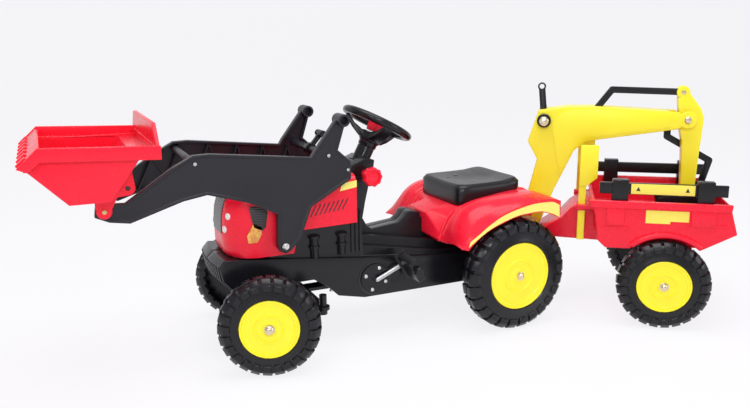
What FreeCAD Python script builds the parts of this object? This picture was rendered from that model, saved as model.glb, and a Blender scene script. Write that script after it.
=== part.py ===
import FreeCAD, Part
import math
import os

from FreeCAD import Vector

os.makedirs("parts", exist_ok=True)

# A child's pedal tractor with a front loader, a two-wheeled trailer and a toy digger.
# Millimetres. +X runs to the rear, +Y to the rider's right and +Z up.
# The origin is on the floor, under the middle of the rear axle.
# The rest pose is a parked one: wheels steered right, trailer swung out, loader raised.

# Fits and walls
running_gap = 0.05
side_gap = 0.5
loose_gap = 1.6
wall = 4.0
overrun = 30.0

# Rest pose
steer_rest_deg = -18.0
steer_limit_deg = 30.0
trailer_rest_deg = -38.0
column_ratio = 1.7

# Wheels
wheelbase = 582.0
rear_tyre_r = 131.0
rear_tyre_w = 58.0
rear_hub_r = 79.5
rear_face_y = 205.0
front_tyre_r = 105.0
front_tyre_w = 50.0
front_hub_r = 61.5
front_face_y = 205.0
trailer_face_y = 190.0
tyre_shoulder = 14.0
tyre_corner_share = 0.293
tyre_tread = 20.0
tyre_web = 7.0
hub_seat = 9.0
hub_rim = 6.0
hub_dish = 4.0
hub_boss_r = 24.0
tyre_boss_r = 18.0
axle_r = 6.0
nut_r = 9.0
nut_h = 6.0
nut_dome = 4.0

# Chassis
chassis_nose = 110.0
chassis_tail = 112.0
chassis_bottom_z = 96.0
chassis_height = 204.0
chassis_low_half = 88.0
chassis_top_half = 80.0
chassis_spine_half = 26.0
chassis_ledge_half = 58.0
chassis_step_half = 76.0
chassis_belly_share = 0.285
bush_r = 10.0
bush_collar_r = 15.0
bush_collar = 3.0

# Pedal drive
crank_share = 0.548969
crank_z = 139.0
crank_arm_share = 0.128866
crank_arm_deg = 24.0
crank_rod_r = 5.0
crank_arm_y = 102.0
crank_hole_r = 20.0
cover_r = 36.0
cover_t = 6.0
cover_screw_circle = 26.0
cover_screw_count = 4
cover_screw_deg = 70.0
screw_head_r = 4.5
screw_head = 2.5
screw_r = 2.0
pedal_length_share = 0.0945
pedal_width = 62.0
pedal_thick = 20.0
pedal_tilt_deg = 60.0
pedal_flange = 3.0
pedal_flange_lip = 5.0
crank_sprocket_r = 31.5
sprocket_ratio = 1.5
sprocket_t = 4.0
chain_y = 24.0
chain_w = 7.0
chain_t = 4.0
chain_gap = 0.4

# Steering
wheel_centre_behind = 312.0
wheel_centre_z = 482.0
column_tilt_deg = 28.0
column_r = 7.0
column_drop = 365.0
pitman_arm = 66.0
pitman_r = 5.0
pitman_finger = 34.0
finger_r = 4.0
steering_rim_r = 77.0
steering_rim_tube = 8.5
steering_hub_r = 25.0
steering_hub_h = 60.0
steering_dish = 18.0
spoke_w = 22.0
spoke_count = 3
spoke_start_deg = 180.0
horn_r = 17.5
horn_h = 20.0
horn_stem_r = 9.0
horn_travel = 4.0

# Front axle
kingpin_y = 135.0
kingpin_r = 6.0
beam_half_x = 18.0
beam_low_z = 120.0
beam_height = 26.0
beam_pad_half = 60.0
knuckle_r = 16.0
knuckle_height = 26.0
steer_arm = 111.0
steer_arm_w = 18.0
steer_arm_t = 10.0
steer_post_r = 8.0
steer_post_top = 150.0
tie_rod_z = 118.0
tie_rod_t = 7.0
tie_rod_w = 16.0
tie_eye_r = 14.0
tie_plate_half = 18.0
tie_slot_half = 10.0
tie_slot_length = 46.0
kingpin_cap_r = 10.0
kingpin_cap = 4.0

# Dash
dash_half = 45.0
dash_length = 74.0
dash_bottom_z = 272.0
dash_height = 139.0
collar_r = 20.0
collar_h = 26.0
knob_behind = 42.0
knob_z = 374.0
knob_r = 21.5
knob_w = 20.0
knob_stem_r = 10.0
knob_stem = 30.0
knob_shaft_r = 5.0
knob_shaft = 16.0

# Hood
hood_nose = 86.0
hood_length = 304.0
hood_bottom_z = 222.0
hood_height = 162.0
hood_half = 95.0
hood_wall = 3.0
hood_round = 22.0
hood_crest_share = 0.7
hood_open_share = 0.08
hood_sill_share = 0.37

# Seat and its shell
seat_front_x = -105.0
seat_length = 177.0
seat_bottom_z = 284.5
seat_height = 55.5
seat_half = 98.0
seat_round = 10.0
seat_rise_share = 0.5586
seat_top_share = 0.9
shell_front_x = -166.0
shell_length = 274.0
shell_bottom_z = 192.0
shell_height = 123.5
shell_half = 96.0
shell_spine_half = 72.0
fender_drop = 5.0
shell_mouth_share = 0.585
fender_front_x = -156.0
fender_length = 268.0
fender_bottom_z = 208.0
fender_height = 98.0
fender_half = 198.0

# Loader
loader_behind = 44.0
loader_z = 250.0
loader_reach = 350.0
loader_rise = 206.0
loader_half = 120.0
loader_depth = 16.0
loader_web = 3.0
loader_bolt_r = 6.0
loader_boss_r = 13.0
loader_eye_r = 16.0
loader_handle_r = 13.0
loader_handle_half = 20.0
loader_rib = 3.0
loader_rib_count = 8
cross_bar_r = 8.0
front_bar_share_x = 0.505
front_bar_share_z = 0.915
rear_bar_share_x = -0.289
rear_bar_share_z = 0.897
latch_sleeve_r = 13.0
latch_half = 12.0
latch_stem_w = 10.0
latch_reach_x = 27.0
latch_reach_z = 32.0
latch_knob_r = 8.0
latch_knob_half = 18.0
bolt_head = 5.0
bolt_head_r = 10.0

# Loader bucket
bucket_pivot_lead = 306.0
bucket_pivot_z = 363.0
bucket_length = 236.0
bucket_depth = 107.0
bucket_drop_z = 27.0
bucket_front = 140.0
bucket_half = 172.0
bucket_rim_half = 184.0
bucket_wall = 4.0
guard_low_half = 184.0
guard_top_half = 139.0
guard_height = 37.0
guard_t = 6.0
guard_back_share = 1.03
guard_low_share = 0.8
guard_rim_share = 0.916
ear_t = 6.0
ear_r = 14.0
ear_gap = 1.0
bucket_pin_r = 5.0

# Hitch and trailer, in the trailer's own frame: X back from the hitch pin
hitch_reach = 40.5
hitch_pin_r = 8.0
hitch_low_z = 150.0
hitch_top_z = 196.0
hitch_plate = 6.0
hitch_half = 24.0
hitch_back_t = 4.0
hitch_pin_top = 236.0
eye_r = 22.0
neck_half = 18.0
neck_share = 0.5
tongue_half = 62.0
trailer_axle_x = 330.6
tub_front_x = 160.0
tub_length = 321.0
tub_bottom_z = 186.0
tub_height = 112.0
tub_half = 165.0
tub_wall = 5.0
tub_step_z = 233.0
tub_low_half = 122.0
arch_r = 113.0
arch_inner_y = 130.0
axle_leg_y = 70.0
axle_leg_half = 10.0
axle_leg_w = 18.0
rail_low_z = 314.0
rail_height = 27.0
rail_t = 10.0
rail_y = 143.0
rail_front_x = 177.0
rail_length = 280.0
bracket_w = 36.0
bracket_low_z = 284.0
bracket_top_z = 349.0
bracket_front_share = 0.165
bracket_rear_share = 0.83
bracket_lip = 6.0

# Toy shovels in the trailer's rings
shovel_y = 88.0
shovel_x = 141.0
shovel_bottom_z = 183.0
shovel_top_z = 418.0
shovel_blade_z = 318.0
shovel_shaft_w = 17.0
shovel_shaft_t = 9.0
shovel_blade_w = 42.0
shovel_blade_t = 13.0
ring_z = 258.0
ring_h = 15.0
ring_wall = 5.0

# Digger, in the trailer's frame
boom_half = 32.0
boom_front_x = -10.0
boom_end_lead = 1.7
boom_bottom_z = 196.5
boom_height = 308.5
boom_end_r = 21.0
sleeve_r = 20.0
sleeve_top_z = 236.0
boom_fork_share = 0.6
boom_roof_share = 0.93
lever_slot_share = 0.9
fork_reach = 31.0
lever_slot_front = 32.0
lever_slot_rear = 24.0
link_slot_front = 24.0
link_slot_rear = 64.0
link_exit_share = 0.465
lever_x = 42.0
lever_z = 470.0
lever_axle_r = 5.0
lever_w = 16.0
lever_t = 10.0
lever_top_x = 33.5
lever_top_z = 552.0
lever_eye_r = 10.0
lever_hole_r = 6.0
lever_cap_r = 17.0
lever_cap = 14.0
lever_cap_end_r = 12.0
lever_cap_end = 14.0
stick_share = 0.681308
stick_z = 475.5
stick_half = 15.0
stick_bolt_r = 4.0
stick_lead = 23.7
stick_length = 62.0
stick_bottom_z = 258.0
stick_height = 282.5
stick_top_r = 15.0
stick_end_r = 15.0
link_pin_lead = 12.2
link_w = 16.0
link_t = 8.0
link_pin_r = 4.0
anchor_lead = 37.7
anchor_z = 455.0
low_link_y = 16.5
low_link_t = 7.0
dig_pivot_behind = 12.3
dig_pivot_z = 258.0
dig_half = 52.0
dig_wall = 4.0
dig_ear_behind = 45.3
dig_ear_z = 298.0
dig_front_lead = 56.7
dig_length = 124.0
dig_bottom_z = 212.5
dig_height = 105.5
dig_pin_r = 4.0
boom_bolt_head = 4.0
boom_bolt_head_r = 8.0

# Places that follow from the sizes above
chassis_front_x = -wheelbase - chassis_nose
chassis_length = wheelbase + chassis_nose + chassis_tail
wheel_centre_x = -wheelbase + wheel_centre_behind
hood_front_x = -wheelbase - hood_nose
dash_front_x = hood_front_x + hood_length
knob_x = dash_front_x + knob_behind
loader_x = -wheelbase + loader_behind
bucket_pivot_x = -wheelbase - bucket_pivot_lead
crank_x = -wheelbase * crank_share
crank_arm = wheelbase * crank_arm_share
pedal_length = wheelbase * pedal_length_share
hitch_x = chassis_tail + hitch_reach
stick_x = tub_front_x + tub_length * stick_share
stick_front_x = stick_x - stick_lead
link_pin_x = stick_x - link_pin_lead
link_pin_z = stick_bottom_z + stick_height
anchor_x = stick_x - anchor_lead
dig_pivot_x = stick_x + dig_pivot_behind
dig_ear_x = stick_x + dig_ear_behind
dig_front_x = stick_x - dig_front_lead
boom_length = stick_x - boom_end_lead - boom_front_x


# Shape helpers
def prism(points, y_low, y_high):
    """A side outline of (x, z) points, run from y_low to y_high."""
    corners = [Vector(x, y_low, z) for x, z in points]
    face = Part.Face(Part.makePolygon(corners + corners[:1]))
    return face.extrude(Vector(0, y_high - y_low, 0))


def inset_prism(points, margin, y_low, y_high):
    """The same, with the outline drawn in by a margin."""
    corners = [Vector(x, y_low, z) for x, z in points]
    face = Part.Face(Part.makePolygon(corners + corners[:1]))
    inner = face.makeOffset2D(-margin, 2)
    return inner.extrude(Vector(0, y_high - y_low, 0))


def outline(start, size, shares):
    """Points at shares of a length and a height, counted from a corner."""
    return [(start[0] + size[0] * a, start[1] + size[1] * b) for a, b in shares]


def block(x, y, z):
    """A box between two values on each axis."""
    corner = Vector(x[0], y[0], z[0])
    return Part.makeBox(x[1] - x[0], y[1] - y[0], z[1] - z[0], corner)


def rod(start, end, radius):
    """A round bar from one point to another."""
    run = end - start
    return Part.makeCylinder(radius, run.Length, start, run)


def cross(x, z, radius, y_low, y_high):
    """A round bar along Y."""
    return rod(Vector(x, y_low, z), Vector(x, y_high, z), radius)


def turned(profile, base, axis):
    """A solid of revolution: (radius, height) points about an axis from a base."""
    corners = [Vector(r, 0, h) for r, h in profile]
    face = Part.Face(Part.makePolygon(corners + corners[:1]))
    solid = face.revolve(Vector(0, 0, 0), Vector(0, 0, 1), 360)
    spin = FreeCAD.Rotation(Vector(0, 0, 1), axis)
    solid.Placement = FreeCAD.Placement(base, spin)
    return solid


def strap(points, width, y_low, y_high):
    """A flat bar along a bent line of (x, z) points, round at every point."""
    shape = None
    for (x0, z0), (x1, z1) in zip(points, points[1:]):
        length = math.hypot(x1 - x0, z1 - z0)
        side_x = -(z1 - z0) / length * width / 2
        side_z = (x1 - x0) / length * width / 2
        corners = [(x0 + side_x, z0 + side_z), (x1 + side_x, z1 + side_z),
                   (x1 - side_x, z1 - side_z), (x0 - side_x, z0 - side_z)]
        run = prism(corners, y_low, y_high)
        shape = run if shape is None else shape.fuse(run)
    for x, z in points:
        shape = shape.fuse(cross(x, z, width / 2, y_low, y_high))
    return shape.removeSplitter()


def loop(first, first_r, second, second_r, y_low, y_high):
    """A solid round two circles and the straight runs between them."""
    span_x = second[0] - first[0]
    span_z = second[1] - first[1]
    span = math.hypot(span_x, span_z)
    lean = math.acos((first_r - second_r) / span)
    heading = math.atan2(span_z, span_x)
    corners = []
    for centre, radius, side in ((first, first_r, 1), (second, second_r, 1),
                                 (second, second_r, -1), (first, first_r, -1)):
        angle = heading + side * lean
        corners.append((centre[0] + radius * math.cos(angle), centre[1] + radius * math.sin(angle)))
    shape = prism(corners, y_low, y_high)
    shape = shape.fuse(cross(first[0], first[1], first_r, y_low, y_high))
    return shape.fuse(cross(second[0], second[1], second_r, y_low, y_high)).removeSplitter()


def mirrored(shape):
    """The same piece on the other side of the tractor."""
    return shape.mirror(Vector(0, 0, 0), Vector(0, 1, 0))


def swung(shape, base, degrees):
    """A copy turned about a vertical line."""
    copy = shape.copy()
    copy.rotate(base, Vector(0, 0, 1), degrees)
    return copy


def on_trailer(shape):
    """A piece from the trailer's frame, at the trailer's rest place."""
    copy = shape.copy()
    copy.translate(Vector(hitch_x, 0, 0))
    return swung(copy, Vector(hitch_x, 0, 0), trailer_rest_deg)


def keep(name, *solids):
    """One node, as one solid or a group of separate ones."""
    shape = solids[0] if len(solids) == 1 else Part.makeCompound(list(solids))
    shape.exportStep("parts/" + name + ".step")


# Wheels
def tyre_profile(radius, width, hub_r):
    """Half section of the black wheel: boss, web, sidewall and tread, open at the back."""
    web_low = width - hub_seat - tyre_web
    bore = axle_r + running_gap
    round_step = tyre_shoulder * tyre_corner_share
    return [(bore, 0), (tyre_boss_r, 0), (tyre_boss_r, web_low), (radius - tyre_tread, web_low),
            (radius - tyre_tread, 0), (radius - tyre_shoulder, 0), (radius - round_step, round_step),
            (radius, tyre_shoulder), (radius, width - tyre_shoulder),
            (radius - round_step, width - round_step), (radius - tyre_shoulder, width),
            (hub_r, width), (hub_r, width - hub_seat), (bore, width - hub_seat)]


def hub_profile(width, hub_r):
    """Half section of the dished hub disc."""
    seat = width - hub_seat
    bore = axle_r + running_gap
    dish = width - hub_dish
    return [(bore, seat), (hub_r, seat), (hub_r, width), (hub_r - hub_rim, width),
            (hub_r - hub_rim - hub_dish, dish), (hub_boss_r + hub_dish, dish),
            (hub_boss_r, dish + hub_dish / 2), (bore, dish + hub_dish / 2)]


def nut(base, axis):
    """A domed axle nut."""
    return turned([(0, 0), (nut_r, 0), (nut_r, nut_h), (nut_r / 2, nut_h + nut_dome),
                   (0, nut_h + nut_dome)], base, axis)


rear_hub_top = rear_tyre_w - hub_dish / 2
front_hub_top = front_tyre_w - hub_dish / 2
for side, sign in (("left", -1), ("right", 1)):
    outward = Vector(0, sign, 0)
    inner = Vector(0, sign * (rear_face_y - rear_tyre_w), rear_tyre_r)
    keep("rear_tyre_" + side, turned(tyre_profile(rear_tyre_r, rear_tyre_w, rear_hub_r), inner, outward))
    keep("rear_hub_" + side, turned(hub_profile(rear_tyre_w, rear_hub_r), inner, outward))

rear_axle_half = rear_face_y - hub_dish / 2
keep("rear_axle", cross(0, rear_tyre_r, axle_r, -rear_axle_half, rear_axle_half))
keep("rear_nuts",
     nut(Vector(0, rear_axle_half, rear_tyre_r), Vector(0, 1, 0)),
     nut(Vector(0, -rear_axle_half, rear_tyre_r), Vector(0, -1, 0)))

# Front axle, knuckles and steered wheels
kingpin_low = front_tyre_r - knuckle_height / 2
knuckle_top = front_tyre_r + knuckle_height / 2
beam_z = knuckle_top + side_gap
beam_top = beam_z + beam_height
axle_x = -wheelbase
beam = block((axle_x - beam_half_x, axle_x + beam_half_x), (-kingpin_y, kingpin_y), (beam_z, beam_top))
belly_z = chassis_bottom_z + chassis_height * chassis_belly_share
pad_x = (axle_x - beam_half_x, axle_x + beam_half_x)
pad = block(pad_x, (-beam_pad_half, beam_pad_half), (beam_top, belly_z))
beam = beam.fuse(pad)
for sign in (-1, 1):
    eye = Vector(axle_x, sign * kingpin_y, beam_z)
    beam = beam.fuse(rod(eye, eye + Vector(0, 0, beam_height), beam_half_x))
for sign in (-1, 1):
    eye = Vector(axle_x, sign * kingpin_y, beam_z - overrun)
    beam = beam.cut(rod(eye, eye + Vector(0, 0, beam_height + 2 * overrun), kingpin_r + running_gap))
keep("front_axle_beam", beam.removeSplitter())

for side, sign in (("left", -1), ("right", 1)):
    outward = Vector(0, sign, 0)
    pin = Vector(axle_x, sign * kingpin_y, 0)
    centre = pin + Vector(0, 0, front_tyre_r)
    inner = Vector(axle_x, sign * (front_face_y - front_tyre_w), front_tyre_r)
    end = Vector(axle_x, sign * (front_face_y - hub_dish / 2 + side_gap), front_tyre_r)
    knuckle = rod(pin + Vector(0, 0, kingpin_low), pin + Vector(0, 0, knuckle_top), knuckle_r)
    knuckle = knuckle.fuse(rod(centre, end, axle_r))
    knuckle = knuckle.fuse(nut(end, outward))
    pin_low = pin + Vector(0, 0, knuckle_top - side_gap)
    pin_high = pin + Vector(0, 0, beam_top + side_gap)
    knuckle = knuckle.fuse(rod(pin_low, pin_high, kingpin_r))
    cap_z = beam_top + side_gap
    cap_low = pin + Vector(0, 0, cap_z)
    knuckle = knuckle.fuse(rod(cap_low, cap_low + Vector(0, 0, kingpin_cap), kingpin_cap_r))
    arm_low = tie_rod_z - side_gap - steer_arm_t
    arm_y = (sign * kingpin_y - steer_arm_w / 2, sign * kingpin_y + steer_arm_w / 2)
    knuckle = knuckle.fuse(block((axle_x, axle_x + steer_arm), arm_y, (arm_low, arm_low + steer_arm_t)))
    post = pin + Vector(steer_arm, 0, arm_low)
    knuckle = knuckle.fuse(rod(post, post + Vector(0, 0, steer_arm_t), steer_arm_w / 2))
    knuckle = knuckle.fuse(rod(post, pin + Vector(steer_arm, 0, steer_post_top), steer_post_r))
    keep("knuckle_" + side, swung(knuckle.removeSplitter(), pin, steer_rest_deg))
    tyre = turned(tyre_profile(front_tyre_r, front_tyre_w, front_hub_r), inner, outward)
    keep("front_tyre_" + side, swung(tyre, pin, steer_rest_deg))
    hub = turned(hub_profile(front_tyre_w, front_hub_r), inner, outward)
    keep("front_hub_" + side, swung(hub, pin, steer_rest_deg))

# Tie rod between the knuckle arms, with a slotted plate for the column's finger
tilt = math.radians(column_tilt_deg)
column_up = Vector(math.sin(tilt), 0, math.cos(tilt))
column_back = Vector(math.cos(tilt), 0, -math.sin(tilt))
wheel_centre = Vector(wheel_centre_x, 0, wheel_centre_z)
column_foot = wheel_centre - column_up * column_drop
finger_top = column_foot + column_back * pitman_arm
finger_reach = (finger_top.z - tie_rod_z - tie_rod_t / 2) / column_up.z
finger_x = finger_top.x - column_up.x * finger_reach
arm_x = axle_x + steer_arm
tie = block((arm_x - tie_rod_w / 2, arm_x + tie_rod_w / 2), (-kingpin_y, kingpin_y),
            (tie_rod_z, tie_rod_z + tie_rod_t))
plate_end = finger_x + tie_slot_length / 2 + tie_rod_w / 2
plate_z = (tie_rod_z, tie_rod_z + tie_rod_t)
tie = tie.fuse(block((arm_x, plate_end), (-tie_plate_half, tie_plate_half), plate_z))
for sign in (-1, 1):
    eye = Vector(arm_x, sign * kingpin_y, tie_rod_z)
    tie = tie.fuse(rod(eye, eye + Vector(0, 0, tie_rod_t), tie_eye_r))
slot_x = (finger_x - tie_slot_length / 2, finger_x + tie_slot_length / 2)
slot = block(slot_x, (-tie_slot_half, tie_slot_half), (tie_rod_z - overrun, tie_rod_z + tie_rod_t + overrun))
tie = tie.cut(slot)
for sign, gap in ((-1, running_gap), (1, loose_gap / 2)):
    eye = Vector(arm_x, sign * kingpin_y, tie_rod_z - overrun)
    tie = tie.cut(rod(eye, eye + Vector(0, 0, tie_rod_t + 2 * overrun), steer_post_r + gap))
steer = math.radians(steer_rest_deg)
tie.translate(Vector(steer_arm * (math.cos(steer) - 1), steer_arm * math.sin(steer), 0))
keep("tie_rod", tie.removeSplitter())

# Steering column, wheel and horn button
hub_low = wheel_centre - column_up * steering_hub_h
column = rod(column_foot, hub_low, column_r)
column = column.fuse(rod(column_foot, finger_top, pitman_r))
column = column.fuse(Part.makeSphere(column_r, column_foot))
column = column.fuse(Part.makeSphere(pitman_r, finger_top))
column = column.fuse(rod(finger_top, finger_top - column_up * pitman_finger, finger_r))
column_rest_deg = steer_rest_deg * column_ratio
column.rotate(wheel_centre, column_up, column_rest_deg)
keep("steering_column", column.removeSplitter())

rim = Part.makeTorus(steering_rim_r, steering_rim_tube)
boss_low = Vector(0, 0, -steering_hub_h)
wheel = rim.fuse(rod(boss_low, Vector(0, 0, -steering_dish), steering_hub_r))
spoke_shares = [(0.16, -2), (0.16, -1.02), (0.28, -1.02), (0.9, -0.15), (1, -0.15), (1, -0.45), (0.92, -0.7),
                (0.34, -2)]
spoke_line = outline((0, 0), (steering_rim_r, steering_dish), spoke_shares)
for index in range(spoke_count):
    spoke = prism(spoke_line, -spoke_w / 2, spoke_w / 2)
    wheel = wheel.fuse(swung(spoke, Vector(0, 0, 0), spoke_start_deg + index * 360 / spoke_count))
well_low = -(steering_hub_h + steering_dish) / 2
well = rod(Vector(0, 0, well_low), Vector(0, 0, overrun), horn_stem_r + side_gap)
wheel = wheel.cut(well).removeSplitter()
horn_low = -steering_dish + horn_travel + side_gap
horn = rod(Vector(0, 0, horn_low), Vector(0, 0, horn_low + horn_h), horn_r)
stem_low = well_low + horn_travel + side_gap
stem = rod(Vector(0, 0, stem_low), Vector(0, 0, horn_low + horn_h / 2), horn_stem_r)
horn = horn.fuse(stem).removeSplitter()
upright = FreeCAD.Rotation(Vector(0, 0, 1), column_up)
for name, shape in (("steering_wheel", wheel), ("horn_button", horn)):
    shape.Placement = FreeCAD.Placement(wheel_centre, upright)
    shape.rotate(wheel_centre, column_up, column_rest_deg)
    keep(name, shape)

# Chassis, as two moulded halves that meet in the middle
low_shares = [(0.02, 0.637), (0, 0.569), (0.01, 0.412), (0.046, chassis_belly_share), (0.282, 0.294),
              (0.321, 0.191),
              (0.353, 0.069), (0.432, 0), (0.973, 0), (1, 0.142), (1, 0.373), (0.668, 0.373),
              (0.423, 0.471), (0.214, 0.569)]
engine_shares = [(0.158, 0.5), (0.162, 1), (0.43, 1), (0.43, 0.412)]
spine_shares = [(0.413, 0.98), (0.43, 0.971), (0.458, 0.863), (0.475, 0.745), (0.491, 0.696),
                (0.58, 0.735), (0.597, 0.784), (0.606, 0.843), (0.619, 0.858), (0.647, 0.833),
                (0.649, 0.765), (0.935, 0.765), (1, 0.51), (1, 0.265), (0.413, 0.265)]
ledge_shares = [(0.413, 0.696), (0.451, 0.681), (0.682, 0.52), (0.985, 0.49), (0.985, 0.265),
                (0.413, 0.265)]
step_shares = [(0.413, 0.603), (0.438, 0.588), (0.669, 0.422), (0.985, 0.422), (0.985, 0.265),
               (0.413, 0.265)]
chassis_start = (chassis_front_x, chassis_bottom_z)
chassis_size = (chassis_length, chassis_height)
low_line = outline(chassis_start, chassis_size, low_shares)
tops = []
for shares, half in ((engine_shares, chassis_top_half), (spine_shares, chassis_spine_half),
                     (ledge_shares, chassis_ledge_half), (step_shares, chassis_step_half)):
    tops.append((outline(chassis_start, chassis_size, shares), half))
body = prism(low_line, -chassis_low_half, chassis_low_half)
room = inset_prism(low_line, wall, -chassis_low_half + wall, chassis_low_half - wall)
for line, half in tops:
    body = body.fuse(prism(line, -half, half))
    room = room.fuse(inset_prism(line, wall, -half + wall, half - wall))
body = body.cut(room)
boss_y = loader_half - loader_depth - side_gap
for sign in (-1, 1):
    low_y, high_y = sorted((sign * (chassis_top_half - wall), sign * boss_y))
    body = body.fuse(cross(loader_x, loader_z, loader_boss_r, low_y, high_y))
wide = chassis_low_half + overrun
body = body.cut(cross(0, rear_tyre_r, bush_r, -wide, wide))
body = body.cut(cross(crank_x, crank_z, crank_hole_r, -wide, wide))
body = body.cut(cross(loader_x, loader_z, loader_bolt_r, -wide, wide))
column_hole = rod(column_foot, wheel_centre, column_r + loose_gap)
body = body.cut(column_hole)
steer_swing = steer_arm * math.sin(math.radians(steer_limit_deg)) + tie_plate_half + side_gap
pocket = block((arm_x - tie_rod_w, plate_end + tie_rod_w), (-steer_swing, steer_swing),
               (chassis_bottom_z, column_foot.z))
body = body.cut(pocket.common(prism(low_line, -wide, wide)))
cover_screws = []
for sign in (-1, 1):
    face_y = sign * (chassis_low_half + cover_t)
    for index in range(cover_screw_count):
        angle = math.radians(cover_screw_deg + index * 360 / cover_screw_count)
        x = crank_x + cover_screw_circle * math.cos(angle)
        z = crank_z + cover_screw_circle * math.sin(angle)
        low_y, high_y = sorted((sign * (chassis_low_half - wall), face_y))
        shank = cross(x, z, screw_r, low_y, high_y)
        low_y, high_y = sorted((face_y, face_y + sign * screw_head))
        cover_screws.append(shank.fuse(cross(x, z, screw_head_r, low_y, high_y)))
for screw in cover_screws:
    body = body.cut(screw)
keep("cover_screws", *cover_screws)
far = chassis_low_half + loader_half
span_x = (chassis_front_x - overrun, chassis_front_x + chassis_length + overrun)
span_z = (chassis_bottom_z - overrun, chassis_bottom_z + chassis_height + overrun)
keep("chassis_left", body.cut(block(span_x, (0, far), span_z)).removeSplitter())
keep("chassis_right", body.cut(block(span_x, (-far, 0), span_z)).removeSplitter())

bushes = []
for sign in (-1, 1):
    outer_y = sign * (chassis_low_half + bush_collar)
    low_y, high_y = sorted((sign * (chassis_low_half - 2 * wall), outer_y))
    bush = cross(0, rear_tyre_r, bush_r, low_y, high_y)
    low_y, high_y = sorted((sign * chassis_low_half, outer_y))
    bush = bush.fuse(cross(0, rear_tyre_r, bush_collar_r, low_y, high_y))
    bushes.append(bush.cut(cross(0, rear_tyre_r, axle_r + running_gap, -wide, wide)).removeSplitter())
keep("axle_bushes", *bushes)

# Crank, sprockets, chain and pedals
lean = math.radians(crank_arm_deg)
step = Vector(crank_arm * math.cos(lean), 0, crank_arm * math.sin(lean))
middle = Vector(crank_x, 0, crank_z)
crank = rod(middle - Vector(0, crank_arm_y, 0), middle + Vector(0, crank_arm_y, 0), crank_rod_r)
spindle = pedal_width + 2 * pedal_flange + 2 * crank_rod_r
for sign in (-1, 1):
    root = middle + Vector(0, sign * crank_arm_y, 0)
    tip = root - step * sign
    crank = crank.fuse(Part.makeSphere(crank_rod_r, root))
    crank = crank.fuse(rod(root, tip, crank_rod_r))
    crank = crank.fuse(Part.makeSphere(crank_rod_r, tip))
    crank = crank.fuse(rod(tip, tip + Vector(0, sign * spindle, 0), crank_rod_r))
keep("crank", crank.removeSplitter())

pedal_inner = crank_arm_y + crank_rod_r + side_gap
for side, sign in (("left", -1), ("right", 1)):
    tip = middle - step * sign
    low_y, high_y = sorted((sign * pedal_inner, sign * (pedal_inner + pedal_width)))
    tread = block((tip.x - pedal_length / 2, tip.x + pedal_length / 2), (low_y, high_y),
                  (tip.z - pedal_thick / 2, tip.z + pedal_thick / 2))
    low_y, high_y = sorted((sign * pedal_inner, sign * (pedal_inner + pedal_flange)))
    half_x = pedal_length / 2 + pedal_flange_lip
    half_z = pedal_thick / 2 + pedal_flange_lip
    pad_x = (tip.x - half_x, tip.x + half_x)
    pedal = tread.fuse(block(pad_x, (low_y, high_y), (tip.z - half_z, tip.z + half_z)))
    pedal = pedal.cut(cross(tip.x, tip.z, crank_rod_r + running_gap, -far, far))
    pedal.rotate(tip, Vector(0, 1, 0), pedal_tilt_deg)
    keep("pedal_" + side, pedal.removeSplitter())

covers = []
for sign in (-1, 1):
    low_y, high_y = sorted((sign * chassis_low_half, sign * (chassis_low_half + cover_t)))
    cover = cross(crank_x, crank_z, cover_r, low_y, high_y)
    cover = cover.cut(cross(crank_x, crank_z, crank_rod_r + running_gap, -wide, wide))
    for screw in cover_screws:
        cover = cover.cut(screw)
    covers.append(cover)
keep("crank_covers", *covers)

rear_sprocket_r = crank_sprocket_r / sprocket_ratio
for name, x, z, radius, shaft_r in (("crank_sprocket", crank_x, crank_z, crank_sprocket_r, crank_rod_r),
                                    ("rear_sprocket", 0, rear_tyre_r, rear_sprocket_r, axle_r)):
    disc = cross(x, z, radius, chain_y - sprocket_t / 2, chain_y + sprocket_t / 2)
    keep(name, disc.cut(cross(x, z, shaft_r, -wide, wide)))
chain_low = chain_y - chain_w / 2
chain_high = chain_y + chain_w / 2
inner_add = chain_gap
outer_add = chain_gap + chain_t
chain = loop((crank_x, crank_z), crank_sprocket_r + outer_add, (0, rear_tyre_r), rear_sprocket_r + outer_add,
             chain_low, chain_high)
chain = chain.cut(loop((crank_x, crank_z), crank_sprocket_r + inner_add, (0, rear_tyre_r),
                       rear_sprocket_r + inner_add, chain_low - overrun, chain_high + overrun))
keep("drive_chain", chain)

# Dash panel with the column collar, and its turning knob
dash_shares = [(0, 0.101), (0.473, 0), (0.568, 0.266), (0.703, 0.561), (0.865, 0.849), (0.892, 0.95),
               (0.649, 1), (0.162, 0.892), (0, 0.806)]
dash_line = outline((dash_front_x, dash_bottom_z), (dash_length, dash_height), dash_shares)
dash = prism(dash_line, -dash_half, dash_half)
hollow = inset_prism(dash_line, wall, -dash_half + wall, dash_half - wall)
dash = dash.cut(hollow)
collar_base = wheel_centre - column_up * (steering_hub_h + collar_h + side_gap)
dash = dash.fuse(rod(collar_base - column_up * collar_h / 2, collar_base + column_up * collar_h, collar_r))
dash = dash.cut(rod(column_foot, wheel_centre, column_r + running_gap))
for line, half in tops[:2]:
    dash = dash.cut(prism(line, -half, half))
dash = dash.cut(cross(knob_x, knob_z, knob_shaft_r + running_gap, -wide, 0))
keep("dash_panel", dash.removeSplitter())

knob_in = dash_half + side_gap
knob = cross(knob_x, knob_z, knob_shaft_r, -knob_in, -dash_half + knob_shaft)
knob = knob.fuse(cross(knob_x, knob_z, knob_stem_r, -knob_in - knob_stem, -knob_in))
knob = knob.fuse(cross(knob_x, knob_z, knob_r, -knob_in - knob_stem - knob_w, -knob_in - knob_stem))
keep("dash_knob", knob.removeSplitter())

# Hood
hood_shares = [(0.059, 0.018), (0, 0.39), (0.013, 0.593), (0.053, 0.79), (0.125, 0.889), (1, 1), (1, 0.34),
               (0.553, 0.321), (0.513, 0.012)]
hood_line = outline((hood_front_x, hood_bottom_z), (hood_length, hood_height), hood_shares)


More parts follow.
